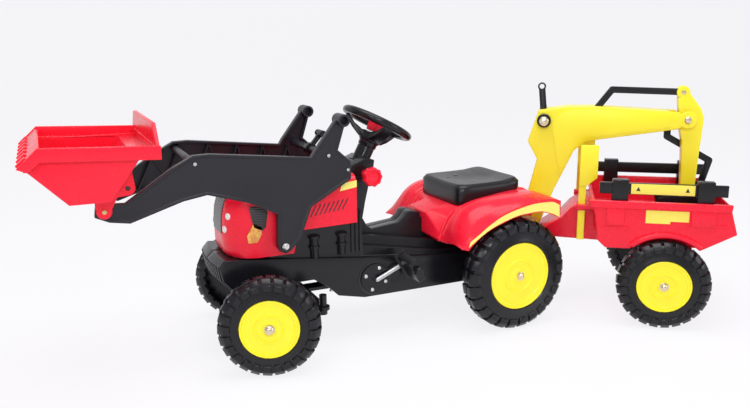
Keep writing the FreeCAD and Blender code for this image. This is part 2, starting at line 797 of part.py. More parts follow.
def rounded_hood(points, half, radius):
    """A side outline run across the hood, with its long upper edges rounded."""
    solid = prism(points, -half, half)
    edges = []
    for edge in solid.Edges:
        ends = [vertex.Point for vertex in edge.Vertexes]
        along = abs(ends[0].y - ends[1].y) < side_gap
        high = min(ends[0].z, ends[1].z) > hood_bottom_z + hood_height * hood_crest_share
        if along and high and abs(ends[0].x - ends[1].x) > hood_length / 2:
            edges.append(edge)
    return solid.makeFillet(radius, edges)


hood_outer = rounded_hood(hood_line, hood_half, hood_round)
hood_room = inset_prism(hood_line, hood_wall, -hood_half + hood_wall, hood_half - hood_wall)
hood = hood_outer.cut(hood_room.common(rounded_hood(
    [(x, z - hood_wall) for x, z in hood_line], hood_half - hood_wall, hood_round)))
open_low = block((hood_front_x + hood_length * hood_open_share, hood_front_x + hood_length + overrun),
                 (-hood_half + hood_wall, hood_half - hood_wall),
                 (hood_bottom_z - overrun, hood_bottom_z + hood_height * hood_sill_share))
hood = hood.cut(open_low)
opening_z = (hood_bottom_z - overrun, hood_bottom_z + hood_height - 2 * hood_wall)
opening_x = (hood_front_x + hood_length - 2 * hood_wall, hood_front_x + hood_length + overrun)
open_back = block(opening_x, (-dash_half, dash_half), opening_z)
hood = hood.cut(open_back)
over_engine = block((hood_front_x + hood_length - 2 * hood_wall, hood_front_x + hood_length + overrun),
                    (-chassis_top_half - side_gap, chassis_top_half + side_gap),
                    (hood_bottom_z - overrun, chassis_bottom_z + chassis_height + side_gap))
hood = hood.cut(over_engine)
hood = hood.cut(cross(loader_x, loader_z, loader_boss_r + side_gap, -wide, wide))
keep("hood", hood.removeSplitter())

# Seat and the shell with both fenders
seat_shares = [(0, 0), (1, seat_rise_share), (1, 0.86), (0.88, 1), (0.06, 1), (0, 0.82)]
seat_line = outline((seat_front_x, seat_bottom_z), (seat_length, seat_height), seat_shares)
seat = prism(seat_line, -seat_half, seat_half)
soft_z = seat_bottom_z + seat_height * seat_top_share
top_edges = [edge for edge in seat.Edges
             if abs(edge.BoundBox.YLength) < side_gap and edge.BoundBox.ZMin > soft_z]
keep("seat", seat.makeFillet(seat_round, top_edges))

shell_shares = [(0, 0.202), (0.095, 0.032), (0.215, 0), (0.825, 0), (1, 0.186), (1, 0.866),
                (0.898, 0.984), (0.869, 1), (0.223, 0.749), (0.058, 0.648), (0, 0.615)]
flank_shares = [(0.022, 0.162), (0.095, 0.065), (0.215, 0), (0.825, 0), (1, 0.186), (1, 0.866),
                (0.898, 0.984), (0.869, 1), (0.223, 0.749), (0.139, 0.534), (0.058, 0.275)]
crest_shares = [(0.015, 0.071), (0.034, 0.367), (0.093, 0.663), (0.172, 0.867), (0.272, 0.99),
                (0.414, 1.051), (0.619, 1.087), (0.806, 1.087), (0.94, 1.02), (1, 0.918)]
brim_shares = [(0, 0.061), (0.06, 0.184), (0.164, 0.388), (0.272, 0.592), (0.377, 0.745),
               (0.507, 0.857), (0.672, 0.969), (0.828, 1), (0.94, 0.98), (1, 0.918)]
root_shares = [(-0.007, 0.041), (0.037, 0.204), (0.104, 0.49), (0.179, 0.745), (0.261, 0.847),
               (0.414, 0.929), (0.619, 1.02), (0.806, 1.061), (0.94, 1), (1, 0.918)]
under_shares = [(1, 0.49), (0.955, 0.551), (0.757, 0.704), (0.511, 0.643), (0.272, 0.418), (0.067, 0)]
shell_line = outline((shell_front_x, shell_bottom_z), (shell_length, shell_height), shell_shares)
flank_line = outline((shell_front_x, shell_bottom_z), (shell_length, shell_height), flank_shares)
blend_shares = [(0, 1, 0, 0), (0.2, 0.3, 0.7, 0), (0.4, 0, 1, 0), (0.65, 0, 0.85, 0.15),
                (0.86, 0, 0.45, 0.55), (1, 0, 0, 1)]


def fender(sign, y_in, y_out, drop):
    """A domed fender, lofted through sections across its width."""
    wires = []
    for across, root, crown, brim in blend_shares:
        y = sign * (y_in + (y_out - y_in) * across)
        mixed = [(a[0] * root + b[0] * crown + c[0] * brim, a[1] * root + b[1] * crown + c[1] * brim)
                 for a, b, c in zip(root_shares, crest_shares, brim_shares)]
        start = (fender_front_x, fender_bottom_z - drop)
        line = outline(start, (fender_length, fender_height), mixed + under_shares)
        corners = [Vector(x, y, z) for x, z in line]
        wires.append(Part.makePolygon(corners + corners[:1]))
    return Part.makeLoft(wires, True, True)


shell = prism(shell_line, -shell_spine_half, shell_spine_half)
shell = shell.fuse(prism(flank_line, -shell_half, shell_half))
for sign in (-1, 1):
    shell = shell.fuse(fender(sign, shell_half - wall, fender_half, 0))
for sign in (-1, 1):
    shell = shell.cut(fender(sign, shell_half, fender_half - wall, fender_drop))
roof = wall / math.cos(math.atan2(seat_height * seat_rise_share, seat_length))
for line, half in ((shell_line, shell_spine_half), (flank_line, shell_half)):
    shell = shell.cut(inset_prism(line, roof, -half + wall, half - wall))
floor_x = (shell_front_x - overrun, shell_front_x + shell_length - wall)
floor_z = (shell_bottom_z - overrun, shell_bottom_z + 2 * roof)
shell = shell.cut(block(floor_x, (-shell_half + wall, shell_half - wall), floor_z))
mouth_x = (shell_front_x - overrun, shell_front_x + shell_half)
mouth_z = (shell_bottom_z - overrun, shell_bottom_z + shell_height * shell_mouth_share)
mouth_half = chassis_spine_half + side_gap
shell = shell.cut(block(mouth_x, (-mouth_half, mouth_half), mouth_z))
for line, half in tops:
    shell = shell.cut(prism(line, -half, half))
shell = shell.cut(prism(seat_line, -seat_half, seat_half))
keep("seat_shell", shell.removeSplitter())

# Loader arms, bars, latch and pivot bolts
arm_shares = [(1.05, 0.495), (0.977, 0.437), (0.871, 0.408), (0.58, 0.568), (0.446, 0.607), (0.214, 0.49),
              (0.04, 0.345), (0.046, 0.025), (0, -0.078), (-0.046, -0.02), (-0.097, 0.058), (-0.171, 0.383),
              (-0.409, 0.612), (-0.431, 0.636), (-0.431, 0.82), (-0.349, 0.947), (-0.4, 1.223), (-0.36, 1.296),
              (-0.203, 0.947), (-0.183, 0.891), (0.423, 1), (0.514, 0.995), (0.637, 0.883), (0.751, 0.752),
              (0.889, 0.597), (0.949, 0.602), (1.04, 0.612)]
arm_line = outline((loader_x, loader_z), (-loader_reach, loader_rise), arm_shares)
web_in = loader_half - loader_web
rim_in = loader_half - loader_depth
bucket_pivot = (bucket_pivot_x, bucket_pivot_z)
bar_shares = [(front_bar_share_x, front_bar_share_z), (rear_bar_share_x, rear_bar_share_z)]
front_bar, rear_bar = outline((loader_x, loader_z), (-loader_reach, loader_rise), bar_shares)
rib_low_shares = (0.70, 0.72)
rib_high_shares = (0.985, 0.90)
rib_x_shares = (0.42, -0.16)
arm = prism(arm_line, rim_in, loader_half)
arm = arm.cut(inset_prism(arm_line, loader_web, rim_in - overrun, web_in))
zigzag = []
for index in range(loader_rib_count + 1):
    along = index / loader_rib_count
    share_x = rib_x_shares[0] + (rib_x_shares[1] - rib_x_shares[0]) * along
    pair = rib_low_shares if index % 2 else rib_high_shares
    zigzag.append((share_x, pair[0] + (pair[1] - pair[0]) * along))
zigzag_line = outline((loader_x, loader_z), (-loader_reach, loader_rise), zigzag)
arm = arm.fuse(strap(zigzag_line, loader_rib, rim_in + loader_web, web_in))
eyes = [(loader_x, loader_z, loader_eye_r), (bucket_pivot[0], bucket_pivot[1], ear_r - side_gap)]
for x, z, radius in eyes:
    arm = arm.fuse(cross(x, z, radius, rim_in, loader_half))
handle_shares = [(-0.38, 1.25)]
handle = outline((loader_x, loader_z), (-loader_reach, loader_rise), handle_shares)[0]
handle_y = loader_half - loader_depth / 2
arm = arm.fuse(cross(handle[0], handle[1], loader_handle_r, handle_y - loader_handle_half,
                     handle_y + loader_handle_half))
arm = arm.cut(cross(loader_x, loader_z, loader_bolt_r + running_gap, -far, far))
arm = arm.cut(cross(bucket_pivot[0], bucket_pivot[1], bucket_pin_r + running_gap, -far, far))
bars = [cross(x, z, cross_bar_r, -web_in, web_in) for x, z in (front_bar, rear_bar)]
for bar in bars:
    arm = arm.cut(bar)
arm = arm.removeSplitter()
keep("loader_arm_right", arm)
keep("loader_arm_left", mirrored(arm))
keep("loader_cross_bars", *bars)

latch = cross(rear_bar[0], rear_bar[1], latch_sleeve_r, -latch_half, latch_half)
knob_point = (rear_bar[0] + latch_reach_x, rear_bar[1] + latch_reach_z)
latch = latch.fuse(strap([rear_bar, knob_point], latch_stem_w, -latch_stem_w / 2, latch_stem_w / 2))
latch = latch.fuse(cross(knob_point[0], knob_point[1], latch_knob_r, -latch_knob_half, latch_knob_half))
latch = latch.cut(cross(rear_bar[0], rear_bar[1], cross_bar_r + running_gap, -far, far))
keep("loader_latch", latch.removeSplitter())

pivot_bolts = []
for sign in (-1, 1):
    low_y, high_y = sorted((sign * (chassis_top_half - wall), sign * (loader_half + side_gap)))
    bolt = cross(loader_x, loader_z, loader_bolt_r, low_y, high_y)
    low_y, high_y = sorted((sign * (loader_half + side_gap), sign * (loader_half + side_gap + bolt_head)))
    pivot_bolts.append(bolt.fuse(cross(loader_x, loader_z, bolt_head_r, low_y, high_y)))
keep("loader_pivot_bolts", *pivot_bolts)

# Loader bucket, hung on its ears outside the arms
bucket_start = (bucket_pivot_x - bucket_front, bucket_pivot_z + bucket_drop_z)
bucket_size = (bucket_length, bucket_depth)
scoop_shares = [(0.034, 0.71), (0.161, 0.972), (1.017, 0.897), (1.017, 0.692), (0.864, 0.673),
                (0.644, 0), (0.339, 0)]
hollow_shares = [(0.08, 0.75), (0.15, 1.1), (0.992, 1.1), (0.992, 0.748), (0.847, 0.729), (0.631, 0.042),
                 (0.347, 0.042)]
band_shares = [(0.008, 0.68), (0.161, 1), (guard_back_share, guard_rim_share), (guard_back_share, 0.673),
               (0.17, 0.766), (0.085, 0.607)]
scoop = prism(outline(bucket_start, bucket_size, scoop_shares), -bucket_half, bucket_half)
band_line = outline(bucket_start, bucket_size, band_shares)
for sign in (-1, 1):
    low_y, high_y = sorted((sign * (bucket_half - bucket_wall), sign * bucket_rim_half))
    scoop = scoop.fuse(prism(band_line, low_y, high_y))
ear_shares = [(0.517, 0.1), (0.534, -0.252), (0.653, -0.252), (0.7, -0.01), (0.81, 0.01), (0.847, 0.13),
              (0.82, 0.5), (0.7, 0.5)]
ear_line = outline(bucket_start, bucket_size, ear_shares)
ear_hole_share = (0.784, 0.13)
rear_hole = outline(bucket_start, bucket_size, [ear_hole_share])[0]
ear_in = loader_half + ear_gap
for sign in (-1, 1):
    low_y, high_y = sorted((sign * ear_in, sign * (ear_in + ear_t)))
    ear = prism(ear_line, low_y, high_y)
    ear = ear.fuse(cross(bucket_pivot_x, bucket_pivot_z, ear_r, low_y, high_y))
    scoop = scoop.fuse(ear.fuse(cross(rear_hole[0], rear_hole[1], ear_r, low_y, high_y)))
scoop = scoop.cut(prism(outline(bucket_start, bucket_size, hollow_shares), -bucket_half + bucket_wall,
                        bucket_half - bucket_wall))
guard_x = bucket_start[0] + bucket_length * guard_back_share
guard_low = bucket_start[1] + bucket_depth * guard_low_share
guard_top = bucket_start[1] + bucket_depth * guard_rim_share + guard_height
corners = [Vector(guard_x, y, z) for y, z in ((-guard_low_half, guard_low), (guard_low_half, guard_low),
                                              (guard_top_half, guard_top), (-guard_top_half, guard_top))]
guard = Part.Face(Part.makePolygon(corners + corners[:1])).extrude(Vector(-guard_t, 0, 0))
scoop = scoop.fuse(guard)
scoop = scoop.cut(cross(bucket_pivot_x, bucket_pivot_z, bucket_pin_r, -far, far))
scoop = scoop.cut(cross(rear_hole[0], rear_hole[1], bucket_pin_r, -far, far))
keep("loader_bucket", scoop.removeSplitter())

bucket_pins = []
for sign in (-1, 1):
    low_y, high_y = sorted((sign * rim_in, sign * (ear_in + ear_t)))
    pin = cross(bucket_pivot_x, bucket_pivot_z, bucket_pin_r, low_y, high_y)
    low_y, high_y = sorted((sign * (ear_in + ear_t), sign * (ear_in + ear_t + boom_bolt_head)))
    bucket_pins.append(pin.fuse(cross(bucket_pivot_x, bucket_pivot_z, boom_bolt_head_r, low_y, high_y)))
keep("bucket_pins", *bucket_pins)

# Hitch bracket and pin
pin_base = Vector(hitch_x, 0, 0)
tail_x = chassis_front_x + chassis_length
bracket = block((tail_x, tail_x + hitch_back_t), (-hitch_half, hitch_half), (hitch_low_z, hitch_top_z))
for z in (hitch_low_z, hitch_top_z - hitch_plate):
    bracket = bracket.fuse(block((tail_x, hitch_x), (-hitch_half, hitch_half), (z, z + hitch_plate)))
    plate_low = pin_base + Vector(0, 0, z)
    bracket = bracket.fuse(rod(plate_low, plate_low + Vector(0, 0, hitch_plate), hitch_half))
pin_hole = rod(pin_base, pin_base + Vector(0, 0, hitch_pin_top), hitch_pin_r)
keep("hitch_bracket", bracket.cut(pin_hole).removeSplitter())
hitch_pin = rod(pin_base + Vector(0, 0, hitch_low_z), pin_base + Vector(0, 0, hitch_pin_top), hitch_pin_r)
head = rod(pin_base + Vector(0, 0, hitch_low_z - hitch_plate), pin_base + Vector(0, 0, hitch_low_z),
           hitch_pin_r + hitch_plate)
keep("hitch_pin", hitch_pin.fuse(head))

# Trailer tub with its tongue, wheel arches, axle legs and shovel rings
tub_shares = [(0, 1), (0.94, 1), (1, 0.402), (0.748, 0), (0.112, 0), (0.056, 0.152), (0.031, 0.66)]
tub_line = outline((tub_front_x, tub_bottom_z), (tub_length, tub_height), tub_shares)
tub = prism(tub_line, -tub_half, tub_half)
eye_low = hitch_low_z + hitch_plate + side_gap
eye_top = hitch_top_z - hitch_plate - side_gap
tongue_shares = [(0.25, 0.03), (0.25, 0.11), (0.6, 0.44), (0.72, 0.65), (0.84, 0.78), (1.05, 0.85), (1.15, 0.85),
                 (1.25, -0.05), (0.5, -0.02)]
tongue_line = outline((0, tub_bottom_z - tub_wall), (tub_front_x, tub_height), tongue_shares)
tub = tub.fuse(prism(tongue_line, -tongue_half, tongue_half))
tub = tub.fuse(block((0, tub_front_x * neck_share), (-neck_half, neck_half), (eye_low, eye_top)))
tub = tub.fuse(rod(Vector(0, 0, eye_low), Vector(0, 0, eye_top), eye_r))
for sign in (-1, 1):
    low_y, high_y = sorted((sign * arch_inner_y, sign * (tub_half + overrun)))
    tub = tub.cut(cross(trailer_axle_x, front_tyre_r, arch_r, low_y, high_y))
    leg_y = (sign * axle_leg_y - axle_leg_half, sign * axle_leg_y + axle_leg_half)
    leg_x = (trailer_axle_x - axle_leg_w, trailer_axle_x + axle_leg_w)
    tub = tub.fuse(block(leg_x, leg_y, (front_tyre_r, tub_bottom_z + tub_wall)))
    tub = tub.fuse(cross(trailer_axle_x, front_tyre_r, axle_leg_w, leg_y[0], leg_y[1]))
deep_shares = [(0.087, 0.429), (0.96, 0.429), (0.735, 0.05), (0.125, 0.05)]
wide_shares = [(0.019, 1.1), (0.922, 1.1), (0.976, 0.446), (0.96, 0.42), (0.072, 0.42)]
deep_line = outline((tub_front_x, tub_bottom_z), (tub_length, tub_height), deep_shares)
tub = tub.cut(prism(deep_line, -tub_low_half, tub_low_half))
tub = tub.cut(prism(outline((tub_front_x, tub_bottom_z), (tub_length, tub_height), wide_shares),
                    -tub_half + tub_wall, tub_half - tub_wall))
ring_half_x = shovel_shaft_w / 2 + side_gap
ring_half_y = shovel_shaft_t / 2 + side_gap
for sign in (-1, 1):
    y = sign * shovel_y
    ring = block((shovel_x - ring_half_x - ring_wall, tub_front_x + 2 * tub_wall),
                 (y - ring_half_y - ring_wall, y + ring_half_y + ring_wall), (ring_z, ring_z + ring_h))
    low_y, high_y = sorted((sign * (tongue_half - tub_wall), y))
    web_x = (shovel_x + ring_half_x, tub_front_x + 2 * tub_wall)
    web = block(web_x, (low_y, high_y), (ring_z, ring_z + ring_h))
    tub = tub.fuse(ring.fuse(web).cut(prism(outline((tub_front_x, tub_bottom_z), (tub_length, tub_height),
                                                    wide_shares), -tub_half, tub_half)))
    tub = tub.cut(block((shovel_x - ring_half_x, shovel_x + ring_half_x), (y - ring_half_y, y + ring_half_y),
                        (shovel_bottom_z - overrun, shovel_top_z)))
tub = tub.cut(rod(Vector(0, 0, 0), Vector(0, 0, hitch_pin_top), hitch_pin_r + running_gap))
tub = tub.cut(cross(trailer_axle_x, front_tyre_r, axle_r, -tub_half, tub_half))
keep("trailer_tub", on_trailer(tub.removeSplitter()))

trailer_axle_half = trailer_face_y - hub_dish / 2 + side_gap
trailer_axle = cross(trailer_axle_x, front_tyre_r, axle_r, -trailer_axle_half, trailer_axle_half)
keep("trailer_axle", on_trailer(trailer_axle))
keep("trailer_nuts", *[on_trailer(nut(Vector(trailer_axle_x, sign * trailer_axle_half, front_tyre_r),
                                      Vector(0, sign, 0))) for sign in (-1, 1)])
for side, sign in (("left", -1), ("right", 1)):
    outward = Vector(0, sign, 0)
    inner = Vector(trailer_axle_x, sign * (trailer_face_y - front_tyre_w), front_tyre_r)
    tyre = turned(tyre_profile(front_tyre_r, front_tyre_w, front_hub_r), inner, outward)
    keep("trailer_tyre_" + side, on_trailer(tyre))
    keep("trailer_hub_" + side, on_trailer(turned(hub_profile(front_tyre_w, front_hub_r), inner, outward)))

rails = []
brackets = []
for sign in (-1, 1):
    bar_y = sorted((sign * rail_y, sign * (rail_y + rail_t)))
    bar = block((rail_front_x, rail_front_x + rail_length), bar_y, (rail_low_z, rail_low_z + rail_height))
    rails.append(on_trailer(bar))
    holder_y = sorted((sign * (rail_y - bracket_lip), sign * (tub_half - tub_wall)))
    for share in (bracket_front_share, bracket_rear_share):
        middle_x = rail_front_x + rail_length * share
        holder_x = (middle_x - bracket_w / 2, middle_x + bracket_w / 2)
        holder = block(holder_x, holder_y, (bracket_low_z, bracket_top_z))
        brackets.append(on_trailer(holder.cut(bar)))
keep("trailer_rails", *rails)
keep("rail_brackets", *brackets)

for side, sign in (("left", -1), ("right", 1)):
    y = sign * shovel_y
    edge_x = shovel_x - shovel_shaft_w / 2
    shaft = block((edge_x, edge_x + shovel_shaft_w), (y - shovel_shaft_t / 2, y + shovel_shaft_t / 2),
                  (shovel_bottom_z, shovel_blade_z))
    blade_line = [(edge_x, shovel_blade_z), (edge_x + shovel_shaft_w, shovel_blade_z),
                  (edge_x + shovel_blade_w, shovel_blade_z + shovel_blade_w / 2),
                  (edge_x + shovel_blade_w, shovel_top_z), (edge_x, shovel_top_z)]
    blade = prism(blade_line, y - shovel_blade_t / 2, y + shovel_blade_t / 2)
    keep("shovel_" + side, on_trailer(shaft.fuse(blade).removeSplitter()))

# Digger boom, a hollow box with a forked end
boom_shares = [(0, 0), (0.125, 0), (0.213, 0.311), (0.331, 0.644), (0.403, 0.723), (0.953, 0.833), (1, 0.9),
               (0.946, 0.967), (0.465, 1), (0.286, 0.997), (0.099, 0.966), (0.036, 0.712), (0.101, 0.565),
               (0.053, 0.311)]
boom_line = outline((boom_front_x, boom_bottom_z), (boom_length, boom_height), boom_shares)
boom_in = boom_half - wall
boom = prism(boom_line, -boom_half, boom_half)
boom = boom.fuse(cross(stick_x, stick_z, boom_end_r, -boom_half, boom_half))
boom = boom.cut(inset_prism(boom_line, wall, -boom_in, boom_in))
boom = boom.fuse(rod(Vector(0, 0, boom_bottom_z), Vector(0, 0, sleeve_top_z), sleeve_r))
reach_z = (boom_bottom_z + boom_height * boom_fork_share, boom_bottom_z + boom_height + overrun)
boom_end_x = stick_x + boom_end_r + overrun
boom = boom.cut(block((anchor_x - fork_reach, boom_end_x), (-boom_in, boom_in),
                      (reach_z[0], anchor_z + link_w)))
boom = boom.cut(block((stick_front_x - link_w, boom_end_x), (-boom_in, boom_in), reach_z))
slot_half = lever_t / 2 + 2 * side_gap
boom = boom.cut(block((lever_x - lever_slot_front, lever_x + lever_slot_rear), (-slot_half, slot_half),
                      (boom_bottom_z + boom_height * lever_slot_share, reach_z[1])))
exit_x = boom_front_x + boom_length * link_exit_share
boom = boom.cut(block((exit_x - link_slot_front, exit_x + link_slot_rear), (-slot_half, slot_half),
                      (boom_bottom_z + boom_height * boom_roof_share, reach_z[1])))
boom = boom.fuse(cross(anchor_x, anchor_z, dig_pin_r, low_link_y - side_gap, boom_in + wall / 2))
boom = boom.cut(rod(Vector(0, 0, 0), Vector(0, 0, sleeve_top_z), hitch_pin_r + running_gap))
boom = boom.cut(cross(lever_x, lever_z, lever_axle_r, -far, far))
boom = boom.cut(cross(stick_x, stick_z, stick_bolt_r, -far, far))
keep("digger_boom", on_trailer(boom.removeSplitter()))

axle_half = boom_half + lever_cap + lever_cap_end
lever_axle = cross(lever_x, lever_z, lever_axle_r, -boom_half, boom_half)
for sign in (-1, 1):
    low_y, high_y = sorted((sign * boom_half, sign * (boom_half + lever_cap)))
    lever_axle = lever_axle.fuse(cross(lever_x, lever_z, lever_cap_r, low_y, high_y))
    low_y, high_y = sorted((sign * boom_half, sign * axle_half))
    lever_axle = lever_axle.fuse(cross(lever_x, lever_z, lever_cap_end_r, low_y, high_y))
stick_bolt = cross(stick_x, stick_z, stick_bolt_r, -boom_half, boom_half)
for sign in (-1, 1):
    low_y, high_y = sorted((sign * boom_half, sign * (boom_half + boom_bolt_head)))
    stick_bolt = stick_bolt.fuse(cross(stick_x, stick_z, boom_bolt_head_r, low_y, high_y))
keep("boom_bolts", on_trailer(lever_axle.removeSplitter()), on_trailer(stick_bolt))

# Digger stick, links, lever and bucket
stick_shares = [(0.32, 0), (0.34, 0.22), (0.25, 0.58), (0.13, 0.7), (0, 0.95), (0.4, 1), (0.88, 0.86), (1, 0.78),
                (0.93, 0.5), (0.84, 0)]
stick_line = outline((stick_front_x, stick_bottom_z), (stick_length, stick_height), stick_shares)
stick = prism(stick_line, -stick_half, stick_half)
stick = stick.fuse(cross(link_pin_x, link_pin_z, stick_top_r, -stick_half, stick_half))
stick = stick.fuse(cross(dig_pivot_x, dig_pivot_z, stick_end_r, -stick_half, stick_half))
slot_w = link_t / 2 + side_gap
stick = stick.cut(block((link_pin_x - overrun, link_pin_x + link_w), (-slot_w, slot_w),
                        (link_pin_z - link_w, link_pin_z + overrun)))
stick = stick.cut(cross(link_pin_x, link_pin_z, link_pin_r + running_gap, -far, far))
stick = stick.cut(cross(stick_x, stick_z, stick_bolt_r + running_gap, -far, far))
stick = stick.cut(cross(dig_pivot_x, dig_pivot_z, dig_pin_r + running_gap, -far, far))
keep("digger_stick", on_trailer(stick.removeSplitter()))

lever_pin = (lever_x + stick_x - link_pin_x, lever_z + stick_z - link_pin_z)
link_shares = [(0.55, 1.13), (0.45, 0.96), (0.305, 0.78)]
link_bends = outline((boom_front_x, boom_bottom_z), (boom_length, boom_height), link_shares)
link = strap([(link_pin_x, link_pin_z)] + link_bends + [lever_pin], link_w, -link_t / 2, link_t / 2)
link = link.fuse(cross(link_pin_x, link_pin_z, link_pin_r, -stick_half, stick_half))
link = link.cut(cross(lever_pin[0], lever_pin[1], link_pin_r + loose_gap, -far, far))
keep("stick_link", on_trailer(link.removeSplitter()))

lever_in = link_t / 2 + side_gap
lever = strap([lever_pin, (lever_x, lever_z)], lever_w, lever_in, lever_in + lever_t)
lever = lever.fuse(strap([lever_pin, (lever_x, lever_z)], lever_w, -lever_in - lever_t, -lever_in))
lever = lever.fuse(cross(lever_x, lever_z, lever_w / 2, -lever_in - lever_t, lever_in + lever_t))
lever_line = [(lever_x, lever_z), (lever_top_x, lever_top_z)]
lever = lever.fuse(strap(lever_line, lever_w, -lever_t / 2, lever_t / 2))
lever = lever.fuse(cross(lever_top_x, lever_top_z, lever_eye_r, -lever_t / 2, lever_t / 2))
lever = lever.fuse(cross(lever_pin[0], lever_pin[1], link_pin_r, -lever_in, lever_in))
lever = lever.cut(cross(lever_top_x, lever_top_z, lever_hole_r, -far, far))
lever = lever.cut(cross(lever_x, lever_z, lever_axle_r + running_gap, -far, far))
keep("dig_lever", on_trailer(lever.removeSplitter()))

low_link_high = low_link_y + low_link_t
low_link_shares = [(0.907, 0.755), (1.17, 0.57)]
low_link_bends = outline((boom_front_x, boom_bottom_z), (boom_length, boom_height), low_link_shares)
low_link_line = [(anchor_x, anchor_z)] + low_link_bends + [(dig_ear_x, dig_ear_z)]
low_link = strap(low_link_line, link_w, low_link_y, low_link_high)
low_link = low_link.cut(cross(anchor_x, anchor_z, dig_pin_r + running_gap, -far, far))
low_link = low_link.cut(cross(dig_ear_x, dig_ear_z, dig_pin_r + loose_gap, -far, far))
keep("bucket_link", on_trailer(low_link.removeSplitter()))

dig_shares = [(0, 0.7), (0.2, 0.77), (0.67, 0.77), (0.86, 1), (1, 0.95), (1, 0.7), (0.97, 0.31), (0.76, 0.06),
              (0.4, 0), (0.13, 0.08)]
dig_line = outline((dig_front_x, dig_bottom_z), (dig_length, dig_height), dig_shares)
spoon_shares = [(-0.3, 0.75), (0, 1.2), (0.968, 1.2), (0.968, 0.7), (0.938, 0.33), (0.745, 0.1), (0.4, 0.037),
                (-0.1, 0.15)]
spoon_line = outline((dig_front_x, dig_bottom_z), (dig_length, dig_height), spoon_shares)
digger = prism(dig_line, -dig_half, dig_half)
digger = digger.cut(prism(spoon_line, -dig_half + dig_wall, dig_half - dig_wall))
for x, z in ((dig_pivot_x, dig_pivot_z), (dig_ear_x, dig_ear_z)):
    digger = digger.fuse(cross(x, z, dig_pin_r, -dig_half + dig_wall / 2, dig_half - dig_wall / 2))
keep("digger_bucket", on_trailer(digger.removeSplitter()))
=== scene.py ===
from math import asin, cos, exp, hypot, pi, radians, sin, sqrt

import bmesh
import bpy
from mathutils import Matrix, Vector


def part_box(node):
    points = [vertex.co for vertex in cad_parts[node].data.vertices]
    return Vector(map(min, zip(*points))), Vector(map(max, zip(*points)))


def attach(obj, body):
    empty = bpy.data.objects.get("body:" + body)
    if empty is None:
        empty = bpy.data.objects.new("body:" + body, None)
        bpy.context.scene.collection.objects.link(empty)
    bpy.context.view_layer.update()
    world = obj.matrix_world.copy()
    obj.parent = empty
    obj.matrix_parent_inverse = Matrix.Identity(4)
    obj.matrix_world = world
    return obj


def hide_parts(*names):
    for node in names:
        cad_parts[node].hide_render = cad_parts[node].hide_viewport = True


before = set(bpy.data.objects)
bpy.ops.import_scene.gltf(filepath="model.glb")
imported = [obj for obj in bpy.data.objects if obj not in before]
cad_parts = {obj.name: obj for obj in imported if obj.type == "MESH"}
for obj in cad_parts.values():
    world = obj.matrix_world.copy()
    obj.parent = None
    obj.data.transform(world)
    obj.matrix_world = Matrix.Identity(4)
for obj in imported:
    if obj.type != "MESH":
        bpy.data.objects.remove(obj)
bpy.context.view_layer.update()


def turnZ(degrees):
    return Matrix.Rotation(radians(degrees), 4, "Z")


scene = bpy.context.scene
toMetres = Matrix.Scale(0.001, 4)  # pieces are drawn in millimetres
sides = (("left", -1), ("right", 1))
hitchLook = dict(x=152.5, swing=-38.0)
onTrailer = Matrix.Translation((hitchLook["x"], 0, 0)) @ turnZ(hitchLook["swing"])
steerLook = dict(turn=-18.0, gear=1.7, tilt=radians(28))  # gear: steering wheel's turn for the knuckles' turn
columnUp = Vector((sin(steerLook["tilt"]), 0, cos(steerLook["tilt"])))


# shader maths: a wired socket that takes Python operators
class Wire:
    def __init__(self, tree, socket):
        self.tree = tree
        self.socket = socket

    def math(self, operation, other, flip=False):
        node = self.tree.nodes.new("ShaderNodeMath")
        node.operation = operation
        for slot, value in zip(node.inputs, (other, self) if flip else (self, other)):
            if isinstance(value, Wire):
                self.tree.links.new(value.socket, slot)
            else:
                slot.default_value = value
        return Wire(self.tree, node.outputs[0])

    def __add__(self, other):
        return self.math("ADD", other)

    def __radd__(self, other):
        return self.math("ADD", other, True)

    def __sub__(self, other):
        return self.math("SUBTRACT", other)

    def __rsub__(self, other):
        return self.math("SUBTRACT", other, True)

    def __mul__(self, other):
        return self.math("MULTIPLY", other)

    def __rmul__(self, other):
        return self.math("MULTIPLY", other, True)


class Finish:
    def __init__(self, name):
        self.material = bpy.data.materials.new(name)
        self.material.use_nodes = True
        self.tree = self.material.node_tree
        self.tree.nodes.clear()
        self.shader = self.tree.nodes.new("ShaderNodeBsdfPrincipled")
        self.output = self.tree.nodes.new("ShaderNodeOutputMaterial")
        self.tree.links.new(self.shader.outputs[0], self.output.inputs[0])
        self.place = self.node("ShaderNodeTexCoord", out=3)  # object coordinates

    def node(self, kind, settings=None, sockets=None, out=0):
        made = self.tree.nodes.new(kind)
        for key, value in (settings or {}).items():
            setattr(made, key, value)
        for key, value in (sockets or {}).items():
            self.feed(made.inputs[key], value)
        return Wire(self.tree, made.outputs[out])

    def feed(self, socket, value):
        if isinstance(value, Wire):
            self.tree.links.new(value.socket, socket)
        else:
            socket.default_value = value

    def noise(self, scale, detail):
        return self.node("ShaderNodeTexNoise", None, {"Vector": self.place, "Scale": scale, "Detail": detail})

    def blend(self, factor, low, high):
        return self.node("ShaderNodeMix", {"data_type": "RGBA"}, {0: factor, 6: low, 7: high}, out=2)

    def bump(self, height, strength, distance):
        return self.node("ShaderNodeBump", None, {"Height": height, "Strength": strength, "Distance": distance})

    def set(self, **values):
        for key, value in values.items():
            self.feed(self.shader.inputs[key.replace("_", " ")], value)
        return self.material


def tint(colour, gain):
    return tuple(min(1, part * gain) for part in colour) + (1,)


